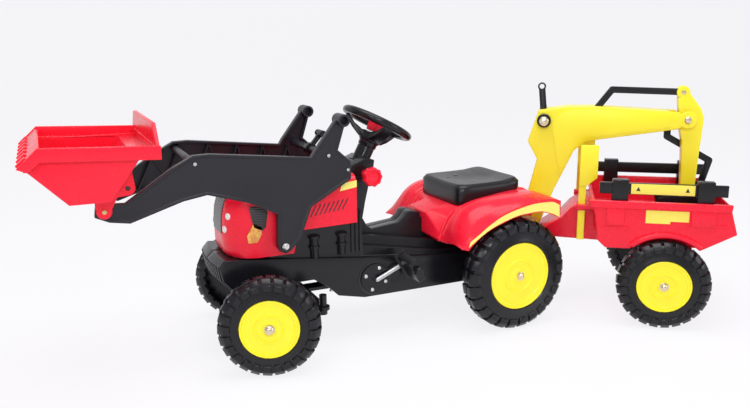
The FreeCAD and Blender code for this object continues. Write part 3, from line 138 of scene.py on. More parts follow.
# moulded plastic: slow colour drift, uneven gloss, fine grain in the skin
def mouldedPlastic(name, colour, drift=0.10, driftScale=7.0, grain=0.05, grainScale=420.0, rough=0.27, haze=0.10,
                   coat=0.0, shine=0.36):
    paint = Finish(name)
    shade = paint.blend(paint.noise(driftScale, 3.0), tint(colour, 1 - drift), tint(colour, 1 + drift))
    return paint.set(Base_Color=shade, Roughness=rough + (paint.noise(38.0, 4.0) - 0.5) * haze,
                     Normal=paint.bump(paint.noise(grainScale, 2.0), grain, 0.0006),
                     Specular_IOR_Level=shine, Coat_Weight=coat, Coat_Roughness=0.12)


# plated steel: faint stains and fine streaks
def platedSteel(name, colour, rough):
    paint = Finish(name)
    streak = paint.noise(420.0, 4.0)
    shade = paint.blend(paint.noise(60.0, 3.0), tint(colour, 0.82), tint(colour, 1.0))
    return paint.set(Base_Color=shade, Metallic=1.0, Roughness=rough + (streak - 0.5) * 0.15,
                     Normal=paint.bump(streak, 0.08, 0.0004))


# film stickers: even colour with a faint mottle under a clear coat
def stickerFilm(name, colour, rough=0.3):
    return mouldedPlastic(name, colour, drift=0.04, driftScale=30.0, grain=0.03, grainScale=600.0, rough=rough,
                          haze=0.08, coat=0.3, shine=0.5)


# lamp sticker: amber cells, darker towards their edges
def amberCells(name):
    paint = Finish(name)
    cells = paint.node("ShaderNodeTexVoronoi", {"feature": "F1"}, {"Vector": paint.place, "Scale": 190.0})
    shade = paint.blend(cells, (1.0, 0.62, 0.10, 1), (0.62, 0.16, 0.03, 1))
    return paint.set(Base_Color=shade, Roughness=0.2 + cells * 0.2, Normal=paint.bump(cells, 0.25, 0.001),
                     Coat_Weight=0.5)


# lamp sticker and grille: dark ribs across
def darkRibs(name):
    paint = Finish(name)
    ribs = paint.node("ShaderNodeTexWave", {"wave_type": "BANDS", "bands_direction": "Z"},
                      {"Vector": paint.place, "Scale": 58.0, "Distortion": 0.4})
    shade = paint.blend(ribs, (0.012, 0.011, 0.012, 1), (0.055, 0.05, 0.05, 1))
    return paint.set(Base_Color=shade, Roughness=0.35 - ribs * 0.1, Normal=paint.bump(ribs, 0.4, 0.0012))


finishes = {
    "red": mouldedPlastic("redPlastic", (0.87, 0.011, 0.036), drift=0.05, coat=0.05, shine=0.31),
    "black": mouldedPlastic("blackPlastic", (0.008, 0.0078, 0.010), drift=0.15, driftScale=9.0, grain=0.04,
                            grainScale=700.0, rough=0.24, haze=0.12),
    "arm": mouldedPlastic("armPlastic", (0.016, 0.0155, 0.021), driftScale=6.0, grain=0.10, grainScale=1100.0,
                          rough=0.38, haze=0.12),
    "seat": mouldedPlastic("seatPlastic", (0.007, 0.0066, 0.009), driftScale=8.0, grain=0.12, grainScale=850.0,
                           rough=0.32, shine=0.38),
    "tyre": mouldedPlastic("wheelPlastic", (0.008, 0.0078, 0.0105), drift=0.20, driftScale=14.0, grain=0.08,
                           grainScale=500.0, haze=0.16),
    "yellow": mouldedPlastic("yellowPlastic", (0.97, 0.835, 0.02), drift=0.03, rough=0.34, coat=0.1, shine=0.5),
    "steel": platedSteel("platedSteel", (0.78, 0.77, 0.76), 0.26),
    "zinc": platedSteel("zincPlate", (0.86, 0.73, 0.54), 0.24),
    "rod": platedSteel("crankSteel", (0.66, 0.66, 0.68), 0.32),
    "brass": platedSteel("brassPlate", (0.86, 0.62, 0.28), 0.28),
    "stripe": stickerFilm("stripeFilm", (0.95, 0.82, 0.17)),
    "plate": stickerFilm("plateFilm", (0.92, 0.78, 0.10)),
    # dark film: black print for the rail plate marks, and painted shade in the hood slots, the bucket ear holes and
    # the gaps round the crank covers
    "ink": stickerFilm("printAndShadeFilm", (0.012, 0.012, 0.013)),
    "lamp": stickerFilm("lampFilm", (0.82, 0.80, 0.78), 0.2),
    "amber": amberCells("amberFilm"),
    "ribbed": darkRibs("ribbedFilm"),
}
print("finishes ready:", len(finishes))


# mesh helpers
def faceOut(bm):
    bmesh.ops.recalc_face_normals(bm, faces=bm.faces)


def rawMesh(bm, name):
    mesh = bpy.data.meshes.new(name)
    bm.to_mesh(mesh)
    bm.free()
    return mesh


def meshFrom(bm, name, place=None):
    faceOut(bm)
    mesh = rawMesh(bm, name)
    mesh.transform(toMetres @ (place or Matrix.Identity(4)))
    return mesh


def joined(name, meshes):
    bm = bmesh.new()
    for mesh in meshes:
        bm.from_mesh(mesh)
    return rawMesh(bm, name)


def piece(name, mesh, finish, body, stands=(), angle=32):
    obj = bpy.data.objects.new(name, mesh)
    scene.collection.objects.link(obj)
    mesh.materials.clear()
    mesh.materials.append(finishes[finish])
    mesh.shade_smooth()
    mesh.set_sharp_from_angle(angle=radians(angle))
    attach(obj, body)
    if stands:
        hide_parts(*stands)


def span(sign, near, far):
    return sorted((sign * near, sign * far))


def aim(base, axis):
    turn = Vector((0, 0, 1)).rotation_difference(Vector(axis))
    return Matrix.Translation(Vector(base)) @ turn.to_matrix().to_4x4()


def addPrism(bm, points, low, high):
    front = [bm.verts.new((x, low, z)) for x, z in points]
    back = [bm.verts.new((x, high, z)) for x, z in points]
    bm.faces.new(front)
    bm.faces.new(list(reversed(back)))
    for i in range(len(points)):
        j = (i + 1) % len(points)
        bm.faces.new((front[j], front[i], back[i], back[j]))


def bridge(bm, rings, closed=True, caps=(0, -1)):
    for a, b in zip(rings, rings[1:]):
        for i in range(len(a) if closed else len(a) - 1):
            j = (i + 1) % len(a)
            bm.faces.new((a[i], a[j], b[j], b[i]))
    for end in caps:
        bm.faces.new(rings[end])


def ringsAcross(bm, levels):
    bridge(bm, [[bm.verts.new((x, y, z)) for x, z in points] for points, y in levels])


def addLathe(bm, profile, place=None, segments=64, wave=None):
    rings = []
    for r, h in profile:
        if r == 0:
            rings.append([bm.verts.new((0, 0, h))])
            continue
        ring = []
        for i in range(segments):
            angle = 2 * pi * i / segments
            radius = r * (wave(angle, r) if wave else 1)
            ring.append(bm.verts.new((radius * cos(angle), radius * sin(angle), h)))
        rings.append(ring)
    for low, high in zip(rings, rings[1:]):
        for i in range(segments):
            j = (i + 1) % segments
            if len(low) == 1:
                bm.faces.new((low[0], high[j], high[i]))
            elif len(high) == 1:
                bm.faces.new((low[i], low[j], high[0]))
            else:
                bm.faces.new((low[i], low[j], high[j], high[i]))
    if place:
        bmesh.ops.transform(bm, matrix=place, verts=[v for ring in rings for v in ring])


def lathePair(bm, profile, x, y, z, segments):
    for sign in (-1, 1):
        addLathe(bm, profile, aim((x, sign * y, z), (0, sign, 0)), segments)


def turnedPairs(name, finish, body, turned, place=None, stands=()):
    bm = bmesh.new()
    for profile, x, y, z, segments in turned:
        lathePair(bm, profile, x, y, z, segments)
    piece(name, meshFrom(bm, name, place), finish, body, stands)


def bevelSharp(bm, width, segments, angle, clamp):
    edges = [e for e in bm.edges if len(e.link_faces) == 2 and e.calc_face_angle(0) > radians(angle)]
    bmesh.ops.bevel(bm, geom=edges, offset=width, offset_type="OFFSET", segments=segments, profile=0.6,
                    affect="EDGES", clamp_overlap=clamp)


def soften(bm, width, segments=2, angle=28):
    faceOut(bm)
    bevelSharp(bm, width, segments, angle, True)


def slab(name, points, low, high, finish, body, bevel, place=None, segments=2):
    bm = bmesh.new()
    addPrism(bm, points, low, high)
    soften(bm, bevel, segments)
    piece(name, meshFrom(bm, name, place), finish, body)


def turnedPiece(name, profile, finish, body, base, axis, segments, place=None, stands=()):
    bm = bmesh.new()
    addLathe(bm, profile, aim(base, axis), segments)
    piece(name, meshFrom(bm, name, place), finish, body, stands)


def smoothLine(points, count):
    spans = [0.0]
    for (x0, z0), (x1, z1) in zip(points, points[1:]):
        spans.append(spans[-1] + hypot(x1 - x0, z1 - z0))
    out = []
    for i in range(count):
        t = spans[-1] * i / (count - 1)
        k = max(j for j in range(len(spans) - 1) if spans[j] <= t + 1e-9)
        ends = points[max(0, k - 1)], points[k], points[k + 1], points[min(len(points) - 1, k + 2)]
        f = (t - spans[k]) / (spans[k + 1] - spans[k])
        out.append(tuple(0.5 * (2 * b + (c - a) * f + (2 * a - 5 * b + 4 * c - d) * f * f
                                + (3 * b - a - 3 * c + d) * f ** 3) for a, b, c, d in zip(*ends)))
    return out


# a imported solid, copied, merged and given soft edges
def softCopy(node, finish, body, width, segments=2, reshape=None):
    bm = bmesh.new()
    bm.from_mesh(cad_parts[node].data)
    bmesh.ops.scale(bm, vec=(1000, 1000, 1000), verts=bm.verts)
    bmesh.ops.remove_doubles(bm, verts=bm.verts, dist=0.01)
    if reshape:
        reshape(bm)
    bevelSharp(bm, width, segments, 28, False)
    mesh = rawMesh(bm, node + "Soft")
    mesh.transform(toMetres)
    piece(node + "Soft", mesh, finish, body, (node,))


# repeats: one piece, turned and shifted a step at a time
def repeatTree():
    tree = bpy.data.node_groups.new("repeatPiece", "GeometryNodeTree")
    ids = {}
    tree.interface.new_socket(name="Geometry", in_out="INPUT", socket_type="NodeSocketGeometry")
    for name, kind in (("Piece", "NodeSocketObject"), ("Count", "NodeSocketInt"), ("Spin", "NodeSocketFloat"),
                       ("Start", "NodeSocketFloat"), ("Shift", "NodeSocketVector"), ("Skin", "NodeSocketMaterial")):
        ids[name] = tree.interface.new_socket(name=name, in_out="INPUT", socket_type=kind).identifier
    tree.interface.new_socket(name="Geometry", in_out="OUTPUT", socket_type="NodeSocketGeometry")
    kinds = ("NodeGroupInput", "NodeGroupOutput", "ShaderNodeVectorMath", "ShaderNodeMath", "ShaderNodeCombineXYZ")
    source, result, shift, turn, spin = [tree.nodes.new(kind) for kind in kinds]
    kinds = ("Points", "InputIndex", "ObjectInfo", "InstanceOnPoints", "RealizeInstances", "SetMaterial")
    points, index, info, copies, real, skin = [tree.nodes.new("GeometryNode" + kind) for kind in kinds]
    shift.operation = "SCALE"
    turn.operation = "MULTIPLY_ADD"
    for start, out, end, into in (
            (source, "Count", points, "Count"), (source, "Shift", shift, 0), (index, 0, shift, "Scale"),
            (shift, 0, points, "Position"), (index, 0, turn, 0), (source, "Spin", turn, 1),
            (source, "Start", turn, 2), (turn, 0, spin, "Z"), (source, "Piece", info, 0),
            (points, 0, copies, "Points"), (info, "Geometry", copies, "Instance"),
            (spin, 0, copies, "Rotation"), (copies, 0, real, 0),
            (real, 0, skin, "Geometry"), (source, "Skin", skin, "Material"), (skin, 0, result, 0)):
        tree.links.new(start.outputs[out], end.inputs[into])
    return tree, ids


repeater, repeatIds = repeatTree()


def repeated(name, bm, finish, count, place, spin=0.0, start=0.0, shift=(0, 0, 0)):
    faceOut(bm)
    seed = bpy.data.objects.new(name + "Seed", rawMesh(bm, name + "Seed"))
    carrier = bpy.data.objects.new(name + "Carrier", bpy.data.meshes.new(name + "Carrier"))
    scene.collection.objects.link(seed)
    scene.collection.objects.link(carrier)
    modifier = carrier.modifiers.new("repeat", "NODES")
    modifier.node_group = repeater
    for key, value in (("Piece", seed), ("Count", count), ("Spin", spin), ("Start", start), ("Shift", shift),
                       ("Skin", finishes[finish])):
        modifier[repeatIds[key]] = value
    evaluated = carrier.evaluated_get(bpy.context.evaluated_depsgraph_get())
    mesh = bpy.data.meshes.new_from_object(evaluated)
    bpy.data.objects.remove(carrier)
    bpy.data.objects.remove(seed)
    mesh.transform(toMetres @ place)
    return mesh


# wheels: blow-moulded tyre with shoulder lugs, stepped hub disc and domed nut
wheelLook = dict(lugs=25, lugShare=0.74, lugDrop=4.5, sideDrop=3.0, shoulder=15.0, tread=20.0, web=7.0, hubSeat=9.0,
                 bore=6.2, boss=18.0)
rearWheel = dict(radius=131, width=58, hub=79.5, x=0, inner=147, nut=203, phase=0.05)
smallWheel = dict(radius=105, width=50, hub=61.5)
frontWheel = dict(smallWheel, x=-582, inner=155, nut=203.6, phase=0.09, kingpin=135)
trailerWheel = dict(smallWheel, x=330.6, inner=140, nut=188.6, phase=0.02)
frontCap = [(0, 0), (11, 0), (11, 1.6), (9.6, 2.0), (9.6, 6.3), (7.6, 8.8), (5.2, 10.5), (2.2, 10.8), (1.8, 10.2),
    (0, 10.2)]
nutProfile = [(0, 0), (10.5, 0), (10.5, 1.6), (9.6, 2.0), (7.8, 2.2), (7.6, 5.2), (6.4, 7.4), (4.0, 8.9), (0, 9.6)]


def lugShape(radius, width):
    half = pi * radius / wheelLook["lugs"] * wheelLook["lugShare"]
    outer = [(radius - 27, width - 4.5), (radius - 24, width - 0.4), (radius - 13, width - 0.4),
             (radius - 3, width - 9), (radius, width - 14), (radius, width * 0.55), (radius - 3, width * 0.5),
             (radius - 9, width * 0.5), (radius - 9, width - 16), (radius - 18, width - 6)]
    bm = bmesh.new()
    addPrism(bm, outer, -half, half)
    for v in bm.verts:  # lugs lean a little and widen towards the tread
        v.co.y *= 0.72 + 0.28 * min(1, max(0, (v.co.x - radius + 27) / 27))
        v.co.y += (width - v.co.z) * 0.14
    soften(bm, 1.3)
    return bm


def tyreProfile(radius, width, hub):
    look = wheelLook
    base = radius - look["lugDrop"]
    face = width - look["sideDrop"]
    s = look["shoulder"]
    seat = width - look["hubSeat"]
    webLow = seat - look["web"]
    inner = radius - look["tread"]
    return [(look["bore"], 0), (look["boss"], 0), (look["boss"], webLow), (inner, webLow), (inner, 0), (base - s, 0),
            (base - s * 0.55, 1.6), (base - s * 0.2, s * 0.45), (base, s), (base, width - s),
            (base - s * 0.2, width - s * 0.5), (base - s * 0.55, face - 2.4), (base - s, face - 0.6), (hub + 9, face),
            (hub + 5, width - 0.6), (hub + 2, width - 0.4), (hub + 0.6, width - 1.6), (hub + 0.4, seat),
            (look["bore"], seat), (look["bore"], 0)]


def hubProfile(top, hub):
    bore, seat = wheelLook["bore"], top - wheelLook["hubSeat"]
    return [(bore, seat), (hub - 0.2, seat), (hub - 0.2, top - 1.4), (hub - 1.2, top - 0.3), (hub - 4, top - 0.3),
            (hub - 5.5, top - 3.6), (hub * 0.83, top - 3.8), (hub * 0.81, top - 5.2), (hub * 0.52, top - 4.2),
            (hub * 0.50, top - 1.8), (hub * 0.45, top - 1.8), (hub * 0.43, top - 4.2), (hub * 0.25, top - 3.8),
            (hub * 0.23, top - 1.8), (bore, top - 1.8), (bore, seat)]


def ringMesh(name, profile, place):
    bm = bmesh.new()
    addLathe(bm, profile, None, 96)
    bmesh.ops.remove_doubles(bm, verts=bm.verts, dist=0.001)
    return meshFrom(bm, name, place)


def wheel(kind, look, side, sign, body, place):
    name = kind + side.title()
    radius, width, hub, phase = look["radius"], look["width"], look["hub"], look["phase"]
    place = place @ aim((look["x"], sign * look["inner"], radius), (0, sign, 0))
    count = wheelLook["lugs"]
    step = 2 * pi / count
    carcass = ringMesh(name + "Carcass", tyreProfile(radius, width, hub), place)
    flip = Matrix.Translation((0, 0, width)) @ Matrix.Rotation(pi, 4, "X")
    outerLugs = repeated(name + "Outer", lugShape(radius, width), "tyre", count, place, step, phase)
    innerLugs = repeated(name + "Inner", lugShape(radius, width), "tyre", count, place @ flip, step, phase + step / 2)
    piece(name + "Tyre", joined(name + "Tyre", [carcass, outerLugs, innerLugs]), "tyre", body,
          (kind + "_tyre_" + side,), 36)
    piece(name + "Hub", ringMesh(name + "Hub", hubProfile(width, hub), place), "yellow", body,
          (kind + "_hub_" + side,), 24)


for side, sign in sides:
    still = Matrix.Identity(4)
    pin = Matrix.Translation((frontWheel["x"], sign * frontWheel["kingpin"], 0))
    steered = pin @ turnZ(steerLook["turn"]) @ pin.inverted()
    wheel("rear", rearWheel, side, sign, "rear_wheels", still)
    wheel("front", frontWheel, side, sign, side + "_front_wheel", steered)
    wheel("trailer", trailerWheel, side, sign, side + "_trailer_wheel", onTrailer)
    # nuts with washers, held by their axles
    for kind, look, profile, body, place in (
            ("rear", rearWheel, nutProfile, "rear_wheels", still),
            ("trailer", trailerWheel, nutProfile, "trailer", onTrailer),
            ("front", frontWheel, frontCap, side + "_knuckle", steered)):
        stands = (kind + "_nuts",) if sign < 0 and kind != "front" else ()
        base = (look["x"], sign * look["nut"], look["radius"])
        turnedPiece(kind + "Nut" + side.title(), profile, "zinc", body, base, (0, sign, 0), 24, place, stands)
print("wheels done")

# loader arms: a bordered outer face, an open inner side with zigzag ribs
armLook = dict(inner=104.0, outer=120.0, border=5.0, step=1.8, web=116.5, rib=3.0, grip=(-405, 112, 507.5),
               pivot=(-538, 120.4, 250))
armLine = [(-905.5, 352), (-880, 340), (-843, 334), (-741, 367), (-694, 375), (-613, 351), (-552, 321), (-554, 255),
    (-550, 241), (-538, 234), (-526, 240), (-504, 262), (-478, 329), (-395, 376), (-387, 381), (-387, 419),
    (-416, 445), (-398, 502), (-412, 517), (-467, 445), (-474, 433.5), (-686, 456), (-718, 455), (-761, 432),
    (-801, 405), (-849, 373), (-870, 374), (-902, 376)]
zigzag = [(-862, 346), (-836, 376), (-800, 352), (-765, 424), (-735, 372), (-705, 450), (-672, 372), (-640, 446),
    (-605, 353), (-575, 440), (-545, 328), (-515, 434), (-492, 330), (-455, 428), (-438, 356)]
gripTube = [(0, -6), (8.2, -6), (8.2, -19.4), (8.6, -20), (12.4, -20), (13.2, -19.2), (13.2, 19.2), (12.4, 20),
    (8.6, 20), (8.2, 19.4), (8.2, 0), (0, 0)]
armScrews = (("front", -714.7, 438.5, 3.6), ("rear", -436.9, 434.8, 3.6), ("tip", -393.7, 401.5, 3.4))
pivotBolt = [(0, -28), (4.9, -28), (4.9, 0), (7.4, 0), (7.4, 1.0), (6.0, 1.4), (5.6, 3.4), (4.0, 4.2), (1.8, 4.2),
    (1.4, 3.0), (0, 3.0)]


def offsetLine(points, distance):
    turn = sum(x0 * z1 - x1 * z0 for (x0, z0), (x1, z1) in zip(points, points[1:] + points[:1]))
    way = 1 if turn > 0 else -1
    moved = []
    for i, here in enumerate(points):
        before, after = Vector(points[i - 1]), Vector(points[(i + 1) % len(points)])
        a = (Vector(here) - before).normalized()
        b = (after - Vector(here)).normalized()
        na, nb = Vector((-a.y, a.x)) * way, Vector((-b.y, b.x)) * way
        middle = (na + nb).normalized()
        moved.append(tuple(Vector(here) + middle * distance / max(0.35, middle.dot(na))))
    return moved


def armMesh(sign):
    look = armLook
    thin = offsetLine(armLine, look["border"])
    deep = offsetLine(armLine, look["border"] + 1.0)
    levels = [(thin, look["web"]), (thin, look["inner"]), (armLine, look["inner"]), (armLine, look["outer"]),
              (thin, look["outer"]), (deep, look["outer"] - look["step"])]
    bm = bmesh.new()
    ringsAcross(bm, [(points, sign * y) for points, y in levels])
    soften(bm, 0.9, 2, 40)
    arm = meshFrom(bm, "arm")
    bm = bmesh.new()
    for (x0, z0), (x1, z1) in zip(zigzag, zigzag[1:]):
        along = Vector((x1 - x0, z1 - z0)).normalized() * look["rib"] / 2
        corners = [(x0 - along.y, z0 + along.x), (x1 - along.y, z1 + along.x), (x1 + along.y, z1 - along.x),
                   (x0 + along.y, z0 - along.x)]
        addPrism(bm, corners, *span(sign, look["inner"] + 0.6, look["web"]))
    return joined("arm", [arm, meshFrom(bm, "armRibs")])


for side, sign in sides:
    piece("loaderArm" + side, armMesh(sign), "arm", "loader", ("loader_arm_" + side,), 40)
    bm = bmesh.new()
    x, y, z = armLook["grip"]
    addLathe(bm, gripTube, aim((x, sign * y, z), (0, 1, 0)), 40)
    piece("handleTube" + side, meshFrom(bm, "handleTube"), "arm", "loader", (), 40)
    for label, x, z, r in armScrews:
        screw = [(0, 0), (r, 0), (r, 1.2), (r - 1.2, 2.0), (1.6, 2.0), (1.3, 1.0), (0, 1.0)]
        base = (x, sign * armLook["outer"], z)
        turnedPiece("armScrew" + side + label, screw, "rod", "loader", base, (0, sign, 0), 20)
    x, y, z = armLook["pivot"]
    turnedPiece("pivotBolt" + side, pivotBolt, "steel", "tractor", (x, sign * y, z), (0, sign, 0), 24, None,
                ("loader_pivot_bolts",) if sign < 0 else ())
softCopy("loader_cross_bars", "arm", "loader", 0.8)
softCopy("loader_latch", "black", "latch", 1.5)
print("loader done")

# loader bucket: plates, flared rim, guard and ears
bucketLook = dict(half=171.0, wall=167.0, side=172.0, rimIn=179.0, rimOut=184.0, ear=(121.0, 127.0),
                  guard=(785.5, 793.5), ribs=7, ribWidth=15.0, ribPitch=52.0)
pinX, pinZ, holeX, holeZ = -888, 363, -843, 404
bucketPlates = [
    [(-1020, 465), (-1013, 471), (-942.5, 396), (-948, 390)],
    [(-949, 390), (-945, 395.5), (-878, 395.5), (-875, 390)],
    [(-877, 390.5), (-881, 395), (-827, 468), (-788, 470), (-788, 464), (-824, 462)],
    [(-794, 464), (-794, 487), (-788, 487), (-788, 464)],
    [(-1021, 464.5), (-991, 493.5), (-986.5, 491), (-1013, 464.5)],
]
bucketSide = [(-1014, 462), (-1008, 473), (-790, 473), (-790, 464), (-824, 462), (-876, 390), (-948, 390)]
bucketBand = [(-1026, 462.8), (-990, 497), (-785, 488), (-785, 462), (-988, 472), (-1008, 455)]
bucketLedge = [(-1016, 456.5), (-989, 476.5), (-786, 466.5), (-786, 462.5), (-988, 472), (-1008, 455.5)]
bucketGuard = [(-183, 474), (-140, 523.5), (-134, 525.5), (134, 525.5), (140, 523.5), (183, 474)]
bucketEar = [(-902, 366), (-906, 400), (-862, 444), (-834, 444), (-829, 405), (-837, 391), (-863, 388), (-874, 366)]
lipRib = [(-1023, 461), (-1027.5, 465), (-1012, 480), (-1008, 476)]
earRing = [(0, 120.8), (13, 120.8), (14.2, 122), (14.2, 126), (13, 127.2), (0, 127.2)]
earPin = [(0, 104), (4.9, 104), (4.9, 127), (4.9, 127.6), (4.2, 129.2), (1.6, 129.6), (1.2, 128.4), (0, 128.4)]
earHole = [(0, 127.3), (4.6, 127.3), (4.2, 127.8), (2.0, 127.9), (0, 127.6)]
bm = bmesh.new()
for points in bucketPlates:
    addPrism(bm, points, -bucketLook["half"], bucketLook["half"])
for sign in (-1, 1):
    addPrism(bm, bucketSide, *span(sign, bucketLook["wall"], bucketLook["side"]))
    addPrism(bm, bucketBand, *span(sign, bucketLook["rimIn"], bucketLook["rimOut"]))
    addPrism(bm, bucketLedge, *span(sign, bucketLook["wall"], bucketLook["rimOut"] - 0.5))
    addPrism(bm, bucketEar, *span(sign, *bucketLook["ear"]))
soften(bm, 1.6, 3)
lathePair(bm, earRing, pinX, 0, pinZ, 36)
lathePair(bm, earRing, holeX, 0, holeZ, 36)
plates = meshFrom(bm, "bucketPlates")
bm = bmesh.new()
addPrism(bm, bucketGuard, *bucketLook["guard"])
soften(bm, 2.6, 3)
guard = meshFrom(bm, "bucketGuard", turnZ(90))
piece("bucketShell", joined("bucketShell", [plates, guard]), "red", "bucket", ("loader_bucket",), 40)
turnedPairs("bucketPins", "brass", "bucket", [(earPin, pinX, 0, pinZ, 28)], None, ("bucket_pins",))
# dark discs: painted shade standing in for the open ear holes
turnedPairs("earHoles", "ink", "bucket", [(earHole, holeX, 0, holeZ, 28)])
bm = bmesh.new()
addPrism(bm, lipRib, -bucketLook["ribWidth"] / 2, bucketLook["ribWidth"] / 2)
soften(bm, 1.8)
first = Matrix.Translation((0, -bucketLook["ribPitch"] * (bucketLook["ribs"] - 1) / 2, 0))
ribs = repeated("lipRibs", bm, "red", bucketLook["ribs"], first, shift=(0, bucketLook["ribPitch"], 0))
piece("lipRibs", ribs, "red", "bucket")
print("bucket done")

# hood with slots, lamps and stickers
hoodLook = dict(half=95.0, shoulder=22.0, nose=66.0, noseFrom=-568.0, front=-652.0, dropFrom=320.0, dropOver=45.0,
                film=0.8, steps=18)
hoodTop = [(-645, 225), (-650, 231), (-652, 246), (-652.5, 285), (-650, 315), (-643, 340), (-630, 356),
    (-610, 365.5), (-560, 371), (-460, 377.5), (-364, 384)]
hoodBase = [(-364, 277), (-500, 274), (-512, 225)]
slotLook = dict(count=8, pitch=10.5, rise=1.3, lean=13.0, tall=24.0, half=1.5, deep=0.7, x=-472, z=301)
grilleLook = dict(low=266, high=346, half=36, step=4, thick=1.6, proud=(-1.0, 0, 0.3))
hoodFilms = [
    ("hoodStripe%d", "stripe", 0.2, [(-404, 351), (-364, 357), (-364, 372), (-398, 368)]),
    ("lampRibbed%d", "ribbed", 0.3, [(-607, 336), (-600, 338), (-572, 331), (-567, 322), (-572, 290), (-580, 283),
        (-598, 292)]),
    ("lampAmber%d", "amber", 0.3, [(-598, 301), (-581, 291), (-582, 275), (-592, 259), (-611, 259), (-613, 275)]),
]


def ramp(value, start, end):
    return min(1.0, max(0.0, (value - start) / (end - start)))


def noseBack(y, flat, radius):
    far = min(radius, max(0.0, abs(y) - flat))
    return radius - sqrt(radius ** 2 - far ** 2)


def hoodPoint(x, y, z):
    look = hoodLook
    drop = noseBack(y, look["half"] - look["shoulder"], look["shoulder"])
    drop *= ramp(z, look["dropFrom"], look["dropFrom"] + look["dropOver"])
    back = noseBack(y, look["half"] - look["nose"], look["nose"]) * ramp(x, look["noseFrom"], look["front"])
    return Vector((x + back, y, z - drop))


hoodRing = smoothLine(hoodTop, 60)
steps = hoodLook["steps"]
levels = [hoodLook["half"] * sin(pi / 2 * i / steps) for i in range(-steps, steps + 1)]
bm = bmesh.new()
bridge(bm, [[bm.verts.new(hoodPoint(x, y, z)) for x, z in hoodRing + hoodBase] for y in levels])
piece("hoodShell", meshFrom(bm, "hoodShell"), "red", "tractor", ("hood",), 40)
bm = bmesh.new()
front = [(x, z) for x, z in hoodRing if x < -600 and grilleLook["low"] < z < grilleLook["high"]]
across = range(-grilleLook["half"], grilleLook["half"] + 1, grilleLook["step"])
proud = Vector(grilleLook["proud"])
bridge(bm, [[bm.verts.new(hoodPoint(x, y, z) + proud) for x, z in front] for y in across], False, ())
faceOut(bm)
if sum(f.normal.x for f in bm.faces) > 0:
    bmesh.ops.reverse_faces(bm, faces=bm.faces)
bmesh.ops.solidify(bm, geom=bm.faces[:], thickness=grilleLook["thick"])
piece("noseGrille", meshFrom(bm, "noseGrille"), "ribbed", "tractor")
for sign in (-1, 1):
    bm = bmesh.new()
    thin, lean, tall, deep = [slotLook[key] for key in ("half", "lean", "tall", "deep")]
    addPrism(bm, [(-thin, 0), (thin, 0), (thin + lean, tall), (-thin + lean, tall)], -deep, deep)
    soften(bm, 0.5)
    first = Matrix.Translation((slotLook["x"], sign * hoodLook["half"], slotLook["z"]))
    # dark slabs: painted shade inside the hood's vent slots
    vents = repeated("hoodSlots", bm, "ink", slotLook["count"], first, shift=(slotLook["pitch"], 0, slotLook["rise"]))
    piece("hoodSlots%d" % sign, vents, "ink", "tractor")
    reach = span(sign, hoodLook["half"], hoodLook["half"] + hoodLook["film"])
    for name, finish, bevel, points in hoodFilms:
        slab(name % sign, points, *reach, finish, "tractor", bevel)
bm = bmesh.new()
for y, z, r in ((60, 313, 7.0), (50, 284, 7.5)):
    x = [x for x, h in hoodRing if x < -600 and abs(h - z) < 4][0]
    lean = asin((y - hoodLook["half"] + hoodLook["nose"]) / hoodLook["nose"])
    lamp = [(0, -1), (r, -1), (r, 1.0), (r * 0.72, 2.0), (r * 0.62, 1.0), (r * 0.3, 1.6), (0, 1.8)]
    for sign in (-1, 1):
        addLathe(bm, lamp, aim(hoodPoint(x, sign * y, z), (-cos(lean), sign * sin(lean), 0.05)), 32)
piece("noseLamps", meshFrom(bm, "noseLamps"), "lamp", "tractor")
print("hood done")

# seat, dished, with a rolled edge
seatLook = dict(front=-105.0, rear=72.0, half=98.0, steps=28, top=337.0, dish=7.0, lift=6.0, slope=2.5, corner=9.5,
                rollFrom=0.88, roll=9.0, base=284.8, baseRise=30.8)
seatLong = seatLook["rear"] - seatLook["front"]
seatMiddle = (seatLook["rear"] + seatLook["front"]) / 2


def seatTop(u, v):
    dish = seatLook["dish"] * exp(-((v / 0.62) ** 2)) * exp(-(((u - 0.45) / 0.34) ** 2))
    rear = seatLook["lift"] * max(0, u - 0.72) / 0.28
    return seatLook["top"] + rear - dish - seatLook["slope"] * (1 - u)


# a square grid point moved on to a square with round corners
def seatEdge(a, b):
    power = seatLook["corner"]
    size = (abs(a) ** power + abs(b) ** power) ** (1 / power)
    top = max(abs(a), abs(b))
    scale = top / size if size > 0 else 1
    return a * scale, b * scale, top


bm = bmesh.new()
steps = seatLook["steps"]
lids = []
for i in range(steps + 1):
    line = []
    for j in range(steps + 1):
        a, b, edge = seatEdge(2 * i / steps - 1, 2 * j / steps - 1)
        u = (a + 1) / 2
        roll = max(0, (edge - seatLook["rollFrom"]) / (1 - seatLook["rollFrom"]))
        z = seatTop(u, b) - seatLook["roll"] * (1 - sqrt(max(0, 1 - roll ** 2)))
        line.append(bm.verts.new((seatLook["front"] + u * seatLong, b * seatLook["half"], z)))
    lids.append(line)
bridge(bm, lids, False, ())
rim = [lids[i][0] for i in range(steps + 1)] + [lids[steps][j] for j in range(1, steps + 1)]
rim += [lids[i][steps] for i in range(steps - 1, -1, -1)] + [lids[0][j] for j in range(steps - 1, 0, -1)]
skirts = [rim]
for share, pull in ((0.35, 1.0), (0.7, 1.0), (0.93, 0.995), (1.0, 0.97)):
    ring = []
    for x, y, z in [v.co for v in rim]:
        low = seatLook["base"] + seatLook["baseRise"] * (x - seatLook["front"]) / seatLong
        ring.append(bm.verts.new((seatMiddle + (x - seatMiddle) * pull, y * pull, z + (low - z) * share)))
    skirts.append(ring)
bridge(bm, skirts, True, (-1,))
piece("seatPad", meshFrom(bm, "seatPad"), "seat", "tractor", ("seat",), 50)
bm = bmesh.new()
for x, y in ((-60, -34), (-60, 34), (-30, -46), (-30, 46)):
    z = seatTop((x - seatLook["front"]) / seatLong, y / seatLook["half"]) - 0.6
    addLathe(bm, [(0, 0), (5.5, 0), (5.0, 1.2), (0, 1.4)], aim((x, y, z), (0, 0, 1)), 20)
piece("seatMarks", meshFrom(bm, "seatMarks"), "black", "tractor")
print("seat done")

